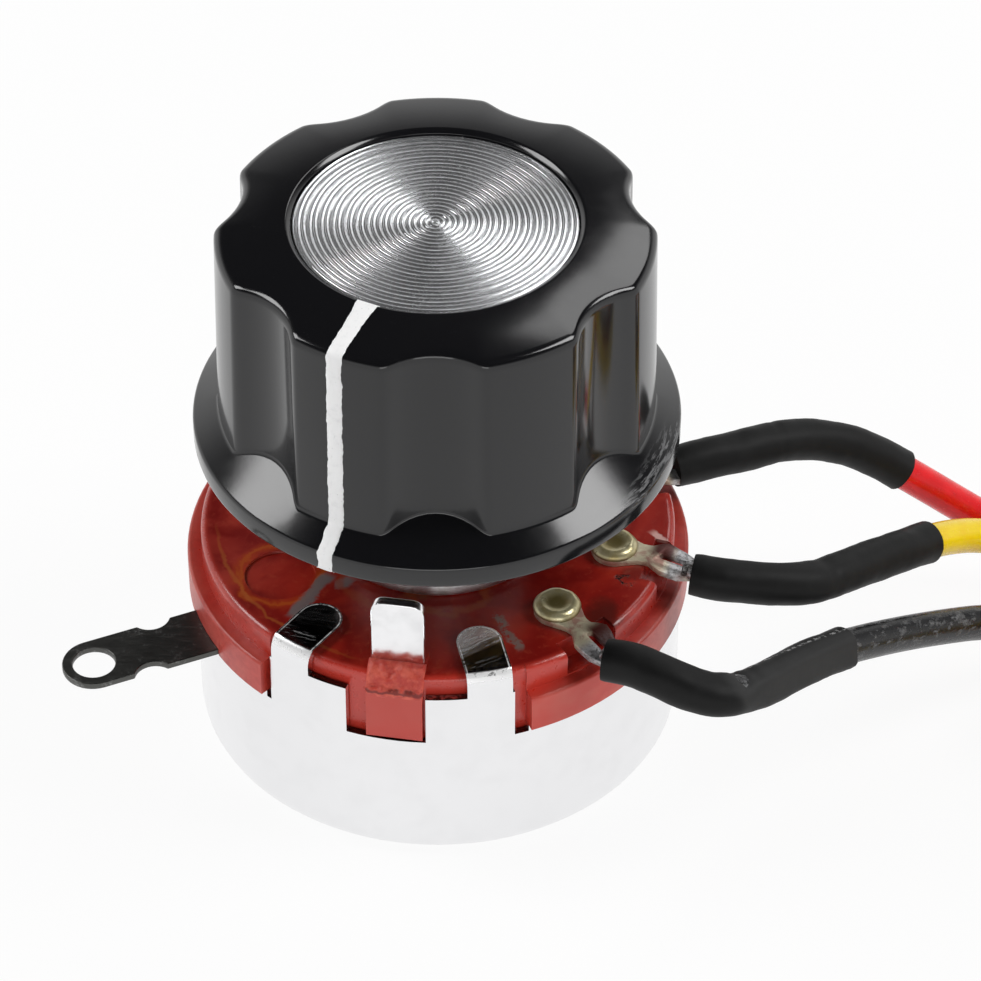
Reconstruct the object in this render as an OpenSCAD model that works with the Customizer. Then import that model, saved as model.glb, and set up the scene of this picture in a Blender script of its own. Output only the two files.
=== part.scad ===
// Panel potentiometer of a direct current motor speed controller.
// A fluted knob turns a 6 mm shaft in a moulded front that a steel can closes from behind,
// and three sleeved leads end in a plug. Millimetres, Z up along the shaft, X to the leads'
// side, origin on the shaft's axis in the can's flat bottom face.

/* [Can] */
// Outer radius of the steel can
can_radius = 13.6; // [8:0.1:30]
// Thickness of the can's sheet
sheet = 0.4; // [0.3:0.05:1.2]
// Height of the can's rim, which the moulding's flange sits on
rim_level = 9; // [6:0.1:20]
// Outer radius of the can's drawn bottom edge
drawn_edge = 1.2; // [0.6:0.1:2]
// Depth of the rim's cut-out at each pair of tabs
relief_depth = 0.4; // [0.3:0.1:2]
// Height of a tab's shoulder over the rim
shoulder_height = 2.8; // [1:0.1:4]
// Width of a folded finger
finger_width = 2.5; // [1.5:0.1:4]
// Reach of a folded finger, from the can's outside to its round tip
finger_reach = 4; // [2:0.1:5]

/* [Moulding] */
// Overhang of the flange past the can
flange_overhang = 0.4; // [0.3:0.05:2]
// Height of the flange's outer wall
flange_height = 2.3; // [1:0.1:5]
// Height of the plateau over the flange's ledge
plateau_rise = 1.6; // [0.8:0.1:4]
// Thickness of the front plate under the plateau
plate_thickness = 2.6; // [1.5:0.1:5]
// Depth of the chamber that the rotor turns in, below the front plate
chamber_depth = 4.2; // [3.6:0.1:5.5]
// Radius of the plateau's rounded edge
plateau_round = 0.4; // [0.1:0.05:0.8]
// Diameter of the round mould recess
recess_diameter = 3.9; // [2:0.1:6]
// Depth of the round mould recess
recess_depth = 0.4; // [0.2:0.05:1]
// Inset of the mould recess's centre from the plateau's edge
recess_inset = 3.2; // [2.6:0.1:4.4]
// Width of the post that holds the locating lug
post_width = 3.1; // [2:0.1:5]

/* [Bushing and shaft] */
// Outer diameter of the threaded bushing
thread_diameter = 9; // [7:0.1:12]
// Height of the bushing over the plateau
bushing_height = 7.4; // [4:0.1:12]
// Radius of the bushing's collar on the plateau
collar_radius = 6.6; // [5:0.1:9]
// Shaft diameter
shaft_diameter = 6; // [4:0.05:8]
// Radial play of the shaft in its bushing
running_fit = 0.04; // [0.01:0.01:0.1]

/* [Knob] */
// Radius of the lobes
lobe_radius = 11.9; // [10:0.1:28]
// Draft of the lobes' wall, from its foot to its top edge
wall_draft = 0.2; // [0:0.05:0.6]
// Overhang of the knob's flange past the lobes
skirt_overhang = 1.4; // [0.6:0.1:4]
// Height of the knob
knob_height = 14.2; // [8:0.1:30]
// Height of the flange's rim
rim_height = 1.3; // [0.6:0.1:3]
// Height of the flutes' foot over the knob's bottom
scallop_height = 3; // [1.6:0.05:5]
// Drop of the shallow cone round the inlay
brow_drop = 0.65; // [0.2:0.05:2]
// Gap between the plateau and the knob
knob_gap = 6.8; // [4:0.1:12]
// Number of lobes
lobes = 7; // [5:1:12]
// Depth of a flute below the lobes
flute_depth = 1.2; // [0.5:0.1:3]
// Radius of the metal inlay
inlay_radius = 7.55; // [4:0.05:20]
// Width of the white pointer line
line_width = 0.9; // [0.4:0.1:2]
// Diameter of a grub screw
grub_diameter = 3; // [2:0.1:5]

/* [Angles] */
// Bearing of the pointer line at rest, from +X
pointer_bearing = -115.5; // [-180:0.5:180]
// Bearing of the middle terminal
terminal_bearing = -16.7; // [-60:0.1:60]
// Angle between neighbouring terminals
terminal_pitch = 33.3; // [28:0.1:40]
// Bearing of the front pair of tabs
tab_bearing = -101.6; // [-130:0.1:-80]
// Bearing of the earth lug
lug_bearing = -156.5; // [-170:0.5:-145]
// Turn from one end stop to the other
travel = 270; // [180:5:300]

/* [Solder lugs] */
// Width of a terminal
terminal_width = 2.6; // [1.5:0.1:4]
// Thickness of the terminals
terminal_sheet = 0.4; // [0.2:0.05:0.8]
// Distance of the earth lug's hole from the can
lug_reach = 6.9; // [5:0.1:15]
// Diameter of the earth lug's hole
lug_hole_diameter = 2.35; // [1:0.05:4]
// Width of the earth lug
lug_width = 3.5; // [2:0.1:6]

/* [Leads and plug] */
// Outer diameter of a lead
lead_diameter = 2; // [1:0.1:3]
// Outer diameter of the shrink sleeve on a lead
sleeve_diameter = 2.4; // [1.4:0.1:3.6]
// Spacing of the leads in the plug
plug_pitch = 2.5; // [2.5:0.1:5]
// Length of the plug's housing
plug_length = 9.5; // [6:0.5:20]
// Height of the plug's housing
plug_height = 5.8; // [4:0.1:8]

/* [Hidden] */
$fn = 96;
cord_sides = 8;
coil_sides = 6;
coil_steps = 24;
over = 0.2;
fit = 0.1;

// Levels up the shaft.
ledge_level = rim_level + flange_height;
plateau_level = ledge_level + plateau_rise;
plate_level = plateau_level - plate_thickness;
rotor_level = plate_level - chamber_depth;
skirt_lap = 0.4;
skirt_level = rotor_level + skirt_lap;
knob_level = plateau_level + knob_gap;
knob_top = knob_level + knob_height;
bushing_top = plateau_level + bushing_height;
shaft_radius = shaft_diameter / 2;
thread_radius = thread_diameter / 2;

// The can and what fits in it.
can_inside = can_radius - sheet;
body_radius = can_inside - fit;
flange_radius = can_radius + flange_overhang;
recess_circle = body_radius - recess_inset;
lug_hole_distance = can_radius + lug_reach;
moulding_wall = 1.2;
chamber_radius = body_radius - moulding_wall;
insulator_sheet = 0.3;
riser_inset = 0.4;
tab_half_span = 29.9;
tab_span = 20.6;
fold_inside = 0.2;
finger_span = 2 * asin(finger_width / 2 / can_radius);
finger_inset = 0.5;
flange_gap = [-31.3, 33.3];
tip_radius = finger_width / 2;

// The track, the wiper and the stop.
track_sheet = 0.6;
track_margin = 0.5;
foot_width = 1.1;
foot_radius = thread_radius + foot_width;
collector_share = 0.32;
track_inside = foot_radius + collector_share * (chamber_radius - foot_radius);
track_outside = chamber_radius - track_margin;
track_width = track_outside - track_inside;
track_level = plate_level - track_sheet;
track_end = 8;
brush_share = 0.263;
brush_radius = brush_share * track_width;
brush_circle = track_inside + brush_radius;
tip_margin = 0.3;
terminal_tip = flange_radius - tip_margin;
rivet_head = 1.25;
solder_radius = 0.95;
contact_gap = 0.02;
rivet_circle = terminal_tip - terminal_width / 2 - solder_radius - rivet_head - contact_gap;
rotor_thickness = 1.4;
rotor_top = rotor_level + rotor_thickness;
stop_play = 0.4;
stop_reach = 1.2;
rotor_radius = chamber_radius - stop_play - stop_reach;
stop_inside = rotor_radius + stop_play;
stop_thickness = 1.2;
stop_span = (360 - travel) / 2 - 0.5;
wiper_sheet = 0.3;
wiper_eye = 1.6;
wiper_margin = 0.4;
button_radius = 0.5;
clip_thickness = 0.6;
clip_width = 1.5;
clip_gap = 0.6;
clip_level = rotor_top + wiper_sheet + clip_gap;
groove_depth = 0.5;
shaft_end = 0.8;
shaft_foot = rotor_level - shaft_end;

// The knob's parts.
skirt_radius = lobe_radius + skirt_overhang;
brow_radius = lobe_radius - wall_draft;
flute_floor = lobe_radius - flute_depth;
flute_span = 180 / lobes;
flute_chord = lobe_radius * sin(flute_span / 2);
flute_sag = flute_depth - lobe_radius * (1 - cos(flute_span / 2));
flute_radius = (flute_chord * flute_chord + flute_sag * flute_sag) / (2 * flute_sag);
rim_round = 0.15;
slope_start = skirt_radius - rim_round;
slope = (scallop_height - rim_height) / (slope_start - flute_floor);
foot_height = rim_height + slope * (slope_start - lobe_radius);
line_margin = 0.1;
disc_thickness = 0.6;
disc_drop = 0.25;
disc_seat = knob_top - disc_drop - disc_thickness;
lip_width = 0.25;
recess_radius = inlay_radius + fit;
lip_radius = recess_radius + lip_width;
wall = 1.9;
cavity_radius = flute_floor - wall;
roof = 3.4;
cavity_top = knob_top - roof;
hub_gap = 0.8;
hub_level = bushing_top + hub_gap;
bush_wall = 1.9;
bush_radius = shaft_radius + bush_wall;
hub_wall = 0.9;
hub_radius = bush_radius + hub_wall;
bush_cover = 2;
bush_top = knob_top - bush_cover;
shaft_drop = 0.4;
shaft_top = bush_top - shaft_drop;
line_depth = 0.2;
grub_radius = grub_diameter / 2;
grub_level = (hub_level + cavity_top) / 2;
grub_length = 4.5;
grub_flutes = [2, 4];

// Real places, in real sizes, that the photographed leads pass.
sleeve_yellow_route = [[14.1, -4.9, 13.3], [15.6, -5.2, 13.2], [17.4, -5.1, 12.8], [19.2, -4.8, 12.3],
    [20.8, -4.1, 11.8], [22.3, -2.8, 11.2], [24.1, -1.1, 10.5], [26, 0.7, 9.7], [27.6, 2.3, 8.9]];
sleeve_red_route = [[13.9, 4.2, 13.3], [15.4, 4.8, 13.2], [17, 5.5, 13], [19.1, 6.6, 12.7],
    [21.2, 7.5, 12.1], [23.2, 8.1, 11.2], [25, 8.4, 10.1], [26.6, 8.5, 8.9]];
sleeve_black_route = [[9.2, -11.8, 13.3], [10.6, -12.2, 13.2], [12, -12.8, 12.9], [13.5, -13.3, 12.5],
    [15, -13.4, 12.1], [16.9, -12.4, 11.5], [18.9, -10.4, 10.8], [20.7, -8.5, 10.1], [22.3, -7, 9.5]];
lead_yellow_route = [[27.6, 2.3, 8.9], [29.3, 3.9, 7.9], [31.1, 5.1, 6.9], [33.8, 5.8, 5.8],
    [37, 5.9, 4.8], [41, 5.4, 4.2], [45, 5.1, 4], [49, 5, 4]];
lead_red_route = [[26.6, 8.5, 8.9], [28.4, 8.6, 7.5], [29.9, 8.7, 6.3], [31.7, 8.7, 5],
    [34.4, 8.4, 3.4], [37.6, 7.8, 2.3], [41, 7.1, 1.8], [45, 6.5, 1.75], [49, 6.3, 1.75]];
lead_black_route = [[22.3, -7, 9.5], [25.1, -4.9, 8.4], [28.1, -2.9, 7.2], [30.8, -1.3, 6.1],
    [34, 0.4, 4.5], [37.5, 1.9, 3.1], [41, 2.9, 2.15], [45, 3.5, 1.8], [49, 3.7, 1.75]];
tail_yellow_route = [[53, 5, 9.6], [55, 5, 9.5], [57, 5, 9], [59, 5, 7.8], [61, 5, 6.3], [63, 5, 4.9],
    [65, 5, 3.9], [67, 5, 3.2], [70, 5, 2.9], [73, 5, 2.9]];
tail_red_route = [[53, 6.3, 7.35], [55, 6.35, 7.35], [57, 6.5, 6.9], [59, 6.8, 5.9], [61, 7.1, 4.8],
    [63, 7.3, 3.8], [65, 7.4, 3.15], [67, 7.5, 2.9], [70, 7.5, 2.9], [73, 7.5, 2.9]];
tail_black_route = [[53, 3.7, 7.35], [55, 3.65, 7.35], [57, 3.5, 6.9], [59, 3.2, 5.9], [61, 2.9, 4.8],
    [63, 2.7, 3.8], [65, 2.6, 3.15], [67, 2.5, 2.9], [70, 2.5, 2.9], [73, 2.5, 2.9]];

// The coil of the three leads, laid together and turned once about each other.
lead_radius = lead_diameter / 2;
coil_centre = [51, -6];
coil_radius = 11;
lay_radius = 1.5;
lay_level = 2.5;
coil_rise = 5.6;
climb_from = 130;
climb_over = 170;
coil_lead_in = 2;
tie_thickness = 0.5;
tie_width = 1.8;
tie_slack = 0.1;
tie_room = 0.6;

// The plug.
plug_ways = 3;
plug_shell = 2.4;
plug_width = (plug_ways - 1) * plug_pitch + 2 * plug_shell;
plug_entry = 70;
plug_middle = 5;
plug_axis = plug_height / 2;
contact_start = 73;
contact_length = 5.2;
contact_size = 1.5;
contact_sheet = 0.25;

// Which node to draw, or all of them

// Points along an arc, for profiles.
function arc(centre, radius, from, to, steps = 6) = [
    for (i = [0 : steps])
        let (a = from + (to - from) * i / steps)
            centre + radius * [cos(a), sin(a)]
];

module bored(outer, inner, low, high) {
    translate([0, 0, low])
        difference() {
            cylinder(r = outer, h = high - low);
            translate([0, 0, -over])
                cylinder(r = inner, h = high - low + 2 * over);
        }
}

// A slice of the full circle between two bearings, for cutting round pieces to length.
module wedge(from, to, reach, low, high) {
    steps = ceil((to - from) / 30);
    translate([0, 0, low])
        linear_extrude(height = high - low)
            polygon(concat([[0, 0]], arc([0, 0], 1.2 * reach, from, to, steps)));
}

module sector(outer, inner, low, high, from, to) {
    intersection() {
        bored(outer, inner, low, high);
        wedge(from, to, outer, low - over, high + over);
    }
}

// A box that starts at the given distance on the given bearing and lies along it.
module spoke(bearing, from, to, width, low, high) {
    rotate([0, 0, bearing])
        translate([from, -width / 2, low])
            cube([to - from, width, high - low]);
}

module at_bearing(bearing, distance, level) {
    rotate([0, 0, bearing])
        translate([distance, 0, level])
            children();
}

// Cords: a round tube swept along its route.
function unit(v) = v / norm(v);
function heading(p, i) = unit(p[min(i + 1, len(p) - 1)] - p[max(i - 1, 0)]);
function hoop(centre, along, radius, sides) =
    let (side = unit(cross(along, [0, 0, 1])), up = cross(side, along))
        [
            for (k = [0 : sides - 1])
                let (a = 360 * (k + 0.5) / sides - 90)
                    centre + radius * (cos(a) * side + sin(a) * up)
        ];
function grown(radius, sides) = radius / sqrt(sin(360 / sides) / (360 / sides * PI / 180));

module tube(route, radius, sides, first = [0, 0, 0], last = [0, 0, 0]) {
    n = len(route);
    hoops = [
        for (i = [0 : n - 1])
            let (end = i == 0 ? first : i == n - 1 ? last : [0, 0, 0])
                hoop(route[i], norm(end) > 0 ? end : heading(route, i), radius, sides)
    ];
    points = [for (h = hoops) each h];
    walls = [
        for (i = [0 : n - 2], k = [0 : sides - 1])
            let (a = i * sides + k, b = i * sides + (k + 1) % sides)
                each [[a, b, b + sides], [a, b + sides, a + sides]]
    ];
    start_cap = [for (k = [1 : sides - 2]) [0, k + 1, k]];
    end_cap = [for (k = [1 : sides - 2]) let (e = (n - 1) * sides) [e, e + k, e + k + 1]];
    polyhedron(points = points, faces = concat(walls, start_cap, end_cap), convexity = 6);
}

// The coil's axis runs clockwise from its back; each lead keeps its own place in the lay.
function eased(x) = let (t = max(0, min(1, x))) t * t * (3 - 2 * t);
function coil_axis(t) = [
    coil_centre[0] + coil_radius * sin(t),
    coil_centre[1] + coil_radius * cos(t),
    lay_level + coil_rise * eased((t - climb_from) / climb_over)
];
function lay(t, start) = lay_radius * [sin(t) * cos(t + start), cos(t) * cos(t + start), sin(t + start)];
function coil_points(start) = concat(
    [coil_axis(0) + lay(0, start) - [coil_lead_in, 0, 0]],
    [for (i = [0 : coil_steps]) let (t = 360 * i / coil_steps) coil_axis(t) + lay(t, start)],
    [coil_axis(360) + lay(360, start) + [coil_lead_in, 0, 0]]
);
function coil_clearance(route, skip = 6) = min([
    for (i = [0 : len(route) - 1], j = [i + skip : 1 : len(route) - 1])
        norm(route[i] - route[j])
]) - lead_diameter;
function lay_clearance(a, b) = min([for (p = a, q = b) norm(p - q)]) - lead_diameter;

module coil(start) {
    tube(coil_points(start), grown(lead_radius, coil_sides), coil_sides, [1, 0, 0], [1, 0, 0]);
}

red_place = -30;
yellow_place = 90;
black_place = 210;
echo(coil_least_gap = min([for (s = [red_place, yellow_place, black_place]) coil_clearance(coil_points(s))]));
echo(leads_least_gap = min([
    lay_clearance(coil_points(red_place), coil_points(yellow_place)),
    lay_clearance(coil_points(yellow_place), coil_points(black_place)),
    lay_clearance(coil_points(black_place), coil_points(red_place))
]));

// The knob.
knob_outline = [
    [0, knob_level],
    [slope_start, knob_level],
    [skirt_radius, knob_level + rim_round],
    [skirt_radius, knob_level + rim_height - rim_round],
    [slope_start, knob_level + rim_height],
    [lobe_radius, knob_level + foot_height],
    [brow_radius, knob_top - brow_drop],
    [lip_radius, knob_top],
    [recess_radius, disc_seat + disc_thickness],
    [recess_radius, disc_seat],
    [0, disc_seat]
];

// Bearings of the flutes, counted from the pointer lobe.
function flute_bearing(i) = pointer_bearing + (i + 0.5) * 360 / lobes;

module knob_flange() {
    inner = cavity_radius + wall / 2;
    inner_height = scallop_height + slope * (flute_floor - inner);
    rotate_extrude()
        polygon([
            [0, knob_level],
            [slope_start, knob_level],
            [skirt_radius, knob_level + rim_round],
            [skirt_radius, knob_level + rim_height - rim_round],
            [slope_start, knob_level + rim_height],
            [inner, knob_level + inner_height],
            [0, knob_level + inner_height]
        ]);
}

// The flutes run down the column and out over the flange's slope as scallops.
module knob_column() {
    foot = knob_level + rim_height / 2;
    difference() {
        rotate_extrude()
            polygon([
                [0, foot],
                [lobe_radius, foot],
                [lobe_radius, knob_level + foot_height],
                [brow_radius, knob_top - brow_drop],
                [lip_radius, knob_top],
                [recess_radius, disc_seat + disc_thickness],
                [recess_radius, disc_seat],
                [0, disc_seat]
            ]);
        for (i = [0 : lobes - 1])
            at_bearing(flute_bearing(i), flute_floor + flute_radius, foot - over)
                cylinder(r = flute_radius, h = knob_height);
    }
}

module pointer_band() {
    spoke(pointer_bearing, lip_radius + line_margin, skirt_radius + over, line_width,
        knob_level, knob_top + over);
}

// The knob's profile drawn in by the pointer line's depth.
module line_floor() {
    rotate_extrude()
        polygon([
            [0, knob_level - over],
            [skirt_radius - line_depth, knob_level - over],
            [skirt_radius - line_depth, knob_level + rim_height - rim_round - line_depth],
            [slope_start - line_depth, knob_level + rim_height - line_depth],
            [lobe_radius - line_depth, knob_level + foot_height - line_depth],
            [brow_radius - line_depth, knob_top - brow_drop - line_depth],
            [lip_radius, knob_top - line_depth],
            [0, knob_top - line_depth]
        ]);
}

module knob_body() {
    color([0.04, 0.04, 0.045])
        difference() {
            union() {
                knob_flange();
                knob_column();
            }
            difference() {
                pointer_band();
                line_floor();
            }
            difference() {
                translate([0, 0, knob_level - over])
                    cylinder(r = cavity_radius, h = cavity_top - knob_level + over);
                translate([0, 0, hub_level])
                    cylinder(r = hub_radius, h = knob_height);
            }
            translate([0, 0, hub_level - over])
                cylinder(r = bush_radius, h = bush_top - hub_level + over);
            for (i = grub_flutes)
                at_bearing(flute_bearing(i), 0, grub_level)
                    rotate([0, 90, 0])
                        cylinder(r = grub_radius + fit, h = skirt_radius);
        }
}

module knob_disc() {
    color([0.85, 0.86, 0.87])
        translate([0, 0, disc_seat])
            cylinder(r = inlay_radius, h = disc_thickness);
}

module pointer_line() {
    color([0.95, 0.95, 0.94])
        difference() {
            intersection() {
                pointer_band();
                rotate_extrude()
                    polygon(knob_outline);
            }
            line_floor();
        }
}

module knob_bush() {
    color([0.8, 0.64, 0.3])
        difference() {
            translate([0, 0, hub_level])
                cylinder(r = bush_radius, h = bush_top - hub_level);
            translate([0, 0, hub_level - over])
                cylinder(r = shaft_radius + running_fit, h = shaft_top + over - hub_level);
            for (i = grub_flutes)
                at_bearing(flute_bearing(i), 0, grub_level)
                    rotate([0, 90, 0])
                        cylinder(r = grub_radius, h = skirt_radius);
        }
}

// Slotted grub screws in the bush, tight on the shaft.
module grub_screws() {
    slot = 0.5;
    slot_depth = 1;
    color([0.3, 0.31, 0.33])
        for (i = grub_flutes)
            at_bearing(flute_bearing(i), shaft_radius + running_fit, grub_level)
                difference() {
                    rotate([0, 90, 0])
                        cylinder(r = grub_radius, h = grub_length);
                    translate([grub_length - slot_depth, -slot / 2, -grub_diameter])
                        cube([slot_depth + over, slot, 2 * grub_diameter]);
                }
}

// The shaft and what turns with it.
module shaft() {
    chamfer = 0.5;
    slot = 1;
    slot_depth = 2;
    color([0.78, 0.79, 0.8])
        difference() {
            rotate_extrude()
                polygon([
                    [0, shaft_foot],
                    [shaft_radius, shaft_foot],
                    [shaft_radius, clip_level],
                    [shaft_radius - groove_depth, clip_level],
                    [shaft_radius - groove_depth, clip_level + clip_thickness],
                    [shaft_radius, clip_level + clip_thickness],
                    [shaft_radius, shaft_top - chamfer],
                    [shaft_radius - chamfer, shaft_top],
                    [0, shaft_top]
                ]);
            translate([-shaft_diameter, -slot / 2, shaft_top - slot_depth])
                cube([2 * shaft_diameter, slot, slot_depth + over]);
        }
}

module retaining_clip() {
    mouth = 3.6;
    color([0.35, 0.36, 0.38])
        difference() {
            bored(shaft_radius + clip_width, shaft_radius - groove_depth,
                clip_level, clip_level + clip_thickness);
            spoke(pointer_bearing, 0, 2 * shaft_diameter, mouth,
                clip_level - over, clip_level + clip_thickness + over);
        }
}

// The rotor's finger meets the moulding's stop at each end of the travel.
module rotor_disc() {
    color([0.3, 0.17, 0.09])
        difference() {
            union() {
                translate([0, 0, rotor_level])
                    cylinder(r = rotor_radius, h = rotor_thickness);
                sector(chamber_radius - stop_play, shaft_radius, rotor_level, rotor_top,
                    pointer_bearing - stop_span / 2, pointer_bearing + stop_span / 2);
            }
            translate([0, 0, rotor_level - over])
                cylinder(r = shaft_radius, h = rotor_thickness + 2 * over);
        }
}

module wiper_spring() {
    arm = 2.6;
    button_circle = (collector_inside + collector_outside) / 2;
    spring_top = rotor_top + wiper_sheet;
    color([0.82, 0.62, 0.36]) {
        difference() {
            union() {
                translate([0, 0, rotor_top])
                    cylinder(r = shaft_radius + wiper_eye, h = wiper_sheet);
                spoke(pointer_bearing, 0, brush_circle + brush_radius + wiper_margin, arm,
                    rotor_top, spring_top);
                spoke(pointer_bearing + 180, 0, button_circle + button_radius + wiper_margin, arm,
                    rotor_top, spring_top);
            }
            translate([0, 0, rotor_top - over])
                cylinder(r = shaft_radius, h = wiper_sheet + 2 * over);
        }
        at_bearing(pointer_bearing + 180, button_circle, rotor_top)
            cylinder(r = button_radius, h = collector_level - contact_gap - rotor_top);
    }
}

module carbon_brush() {
    color([0.12, 0.12, 0.13])
        at_bearing(pointer_bearing, brush_circle, rotor_top + wiper_sheet)
            cylinder(r = brush_radius, h = track_level - contact_gap - rotor_top - wiper_sheet);
}

// The red moulding. The flange and the riser stop short at each pair of tabs.
module moulding_body() {
    edge = plateau_round;
    rotate_extrude()
        polygon(concat(
            [[0, skirt_level], [body_radius, skirt_level]],
            arc([body_radius - edge, plateau_level - edge], edge, 0, 90),
            [[0, plateau_level]]
        ));
}

module flange_ring() {
    edge = plateau_round;
    corner = edge / 2;
    rotate_extrude()
        polygon(concat(
            [[chamber_radius, rim_level], [flange_radius, rim_level]],
            arc([flange_radius - corner, ledge_level - corner], corner, 0, 90, 3),
            [[can_radius - riser_inset, ledge_level]],
            arc([can_radius - riser_inset - edge, plateau_level - edge], edge, 0, 90),
            [[chamber_radius, plateau_level]]
        ));
}

module flange_arcs() {
    for (side = [0, 180])
        intersection() {
            flange_ring();
            wedge(tab_bearing + side + flange_gap[1], tab_bearing + side + 180 + flange_gap[0], flange_radius,
                rim_level - over, plateau_level + over);
        }
}

// The post that the locating lug stands in, with its sloping top.
post_bearing = tab_bearing + 2;
post_depth = 2.4;
post_crown = 0.3;
post_brow = 0.9;
post_slope = 0.6;

module lug_post() {
    face = can_radius - fit;
    back = face - post_depth;
    foot = rim_level - relief_depth + fit;
    rotate([0, 0, post_bearing])
        translate([0, post_width / 2, 0])
            rotate([90, 0, 0])
                linear_extrude(height = post_width)
                    polygon([
                        [back, ledge_level],
                        [body_radius - fit, ledge_level],
                        [body_radius - fit, foot],
                        [face, foot],
                        [face, ledge_level + post_slope],
                        [face - post_crown, ledge_level + post_slope + post_crown],
                        [face - post_crown - post_brow, plateau_level + post_crown],
                        [back, plateau_level + post_crown]
                    ]);
}

locating_circle = chamber_radius;
locating_width = 2.9;
locating_sheet = 0.6;
locating_height = 4.4;
locating_depth = 2.2;

module locating_blade(grow = 0) {
    corner = 0.7;
    low = plateau_level - locating_depth;
    top = plateau_level + locating_height;
    half = locating_width / 2;
    rotate([0, 0, post_bearing])
        translate([locating_circle + locating_sheet / 2, 0, 0])
            rotate([90, 0, -90])
                linear_extrude(height = locating_sheet)
                    polygon(concat(
                        [[-half, low - grow], [half, low - grow]],
                        arc([half - corner, top - corner], corner, 0, 90, 4),
                        arc([-half + corner, top - corner], corner, 90, 180, 4)
                    ));
}

terminal_bearings = [for (k = [-1 : 1]) terminal_bearing + k * terminal_pitch];
notch_depth = 1;
notch_side = 0.4;

module base_moulding() {
    color([0.62, 0.1, 0.08])
        difference() {
            union() {
                difference() {
                    union() {
                        moulding_body();
                        flange_arcs();
                    }
                    translate([0, 0, skirt_level - over])
                        cylinder(r = chamber_radius, h = plate_level - skirt_level + over);
                }
                sector(chamber_radius + over, stop_inside, skirt_level, skirt_level + stop_thickness,
                    terminal_bearing - stop_span / 2, terminal_bearing + stop_span / 2);
                lug_post();
            }
            bushing_seat();
            locating_blade(over);
            at_bearing(lug_bearing + 6, recess_circle, plateau_level - recess_depth)
                cylinder(d = recess_diameter, h = recess_depth + over);
            for (bearing = terminal_bearings) {
                at_bearing(bearing, rivet_circle, plate_level - over)
                    cylinder(r = rivet_radius, h = plate_thickness + 2 * over);
                spoke(bearing, body_radius - notch_depth, flange_radius + over,
                    terminal_width + 2 * notch_side, ledge_level + fit, plateau_level + over);
            }
            earth_lug_blank(fit / 2, over);
        }
}

// The bushing is clamped through the front plate by its collar and its spun foot.
foot_thickness = 0.8;
neck_radius = (foot_radius + thread_radius) / 2;
collar_height = 0.9;

module bushing_seat() {
    translate([0, 0, plate_level - over])
        cylinder(r = neck_radius, h = plate_thickness + 2 * over);
}

module bushing() {
    chamfer = 0.5;
    relief = 0.35;
    color([0.74, 0.75, 0.76])
        difference() {
            rotate_extrude()
                polygon([
                    [0, plate_level - foot_thickness],
                    [foot_radius, plate_level - foot_thickness],
                    [foot_radius, plate_level],
                    [neck_radius, plate_level],
                    [neck_radius, plateau_level],
                    [collar_radius, plateau_level],
                    [collar_radius, plateau_level + collar_height - relief],
                    [collar_radius - relief, plateau_level + collar_height],
                    [thread_radius - relief, plateau_level + collar_height],
                    [thread_radius - relief, plateau_level + collar_height + 2 * relief],
                    [thread_radius, plateau_level + collar_height + 3 * relief],
                    [thread_radius, bushing_top - chamfer],
                    [thread_radius - chamfer, bushing_top],
                    [0, bushing_top]
                ]);
            translate([0, 0, plate_level - foot_thickness - over])
                cylinder(r = shaft_radius + running_fit, h = bushing_top);
        }
}

// The can is drawn from one sheet. Its wall goes on up into the folded fingers, two at the
// front and two at the back, and everything between them is cut away.
module can_sheet() {
    bend = sheet + fold_inside;
    fold = [can_radius - bend, plateau_level - fold_inside];
    inner = can_radius - finger_reach - over;
    corner = [can_radius - drawn_edge, drawn_edge];
    rotate_extrude()
        polygon(concat(
            [[0, 0]],
            arc(corner, drawn_edge, -90, 0),
            arc(fold, bend, 0, 90),
            [[inner, plateau_level + sheet], [inner, plateau_level]],
            arc(fold, fold_inside, 90, 0, 3),
            arc(corner, drawn_edge - sheet, 0, -90),
            [[0, sheet]]
        ));
}

// One tab on a pair's bearing: hand is -1 for the left one and 1 for the right one.
module tab_outline(pair, hand) {
    outer = pair + hand * tab_half_span;
    inner = outer - hand * tab_span;
    tip = can_radius - finger_reach + tip_radius;
    wedge(min(inner, outer), max(inner, outer), can_radius,
        rim_level - relief_depth - over, rim_level + shoulder_height);
    rotate([0, 0, outer - hand * (finger_span / 2 + finger_inset)])
        translate([0, 0, rim_level])
            linear_extrude(height = plateau_level + 2 * sheet - rim_level)
                union() {
                    translate([tip, 0])
                        circle(r = tip_radius);
                    translate([tip, -tip_radius])
                        square([can_radius + over - tip, finger_width]);
                }
}

module can() {
    color([0.86, 0.87, 0.88])
        intersection() {
            can_sheet();
            union() {
                difference() {
                    translate([0, 0, -over])
                        cylinder(r = can_radius + over, h = rim_level + over);
                    for (side = [0, 180])
                        wedge(tab_bearing + side + flange_gap[0], tab_bearing + side + flange_gap[1],
                            can_radius + over, rim_level - relief_depth, rim_level + over);
                }
                for (side = [0, 180], hand = [-1, 1])
                    tab_outline(tab_bearing + side, hand);
            }
        }
}

module insulator_disc() {
    color([0.55, 0.4, 0.22])
        translate([0, 0, sheet])
            cylinder(r = can_inside - drawn_edge, h = insulator_sheet);
}

// The carbon track is a horseshoe that the two outer terminals hold.
module resistance_track() {
    color([0.16, 0.16, 0.17])
        difference() {
            sector(track_outside, track_inside, track_level, plate_level,
                terminal_bearings[2] - track_end, terminal_bearings[0] + track_end + 360);
            for (bearing = terminal_bearings)
                at_bearing(bearing, rivet_circle, track_level - over)
                    cylinder(r = rivet_radius, h = track_sheet + 2 * over);
        }
}

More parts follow.
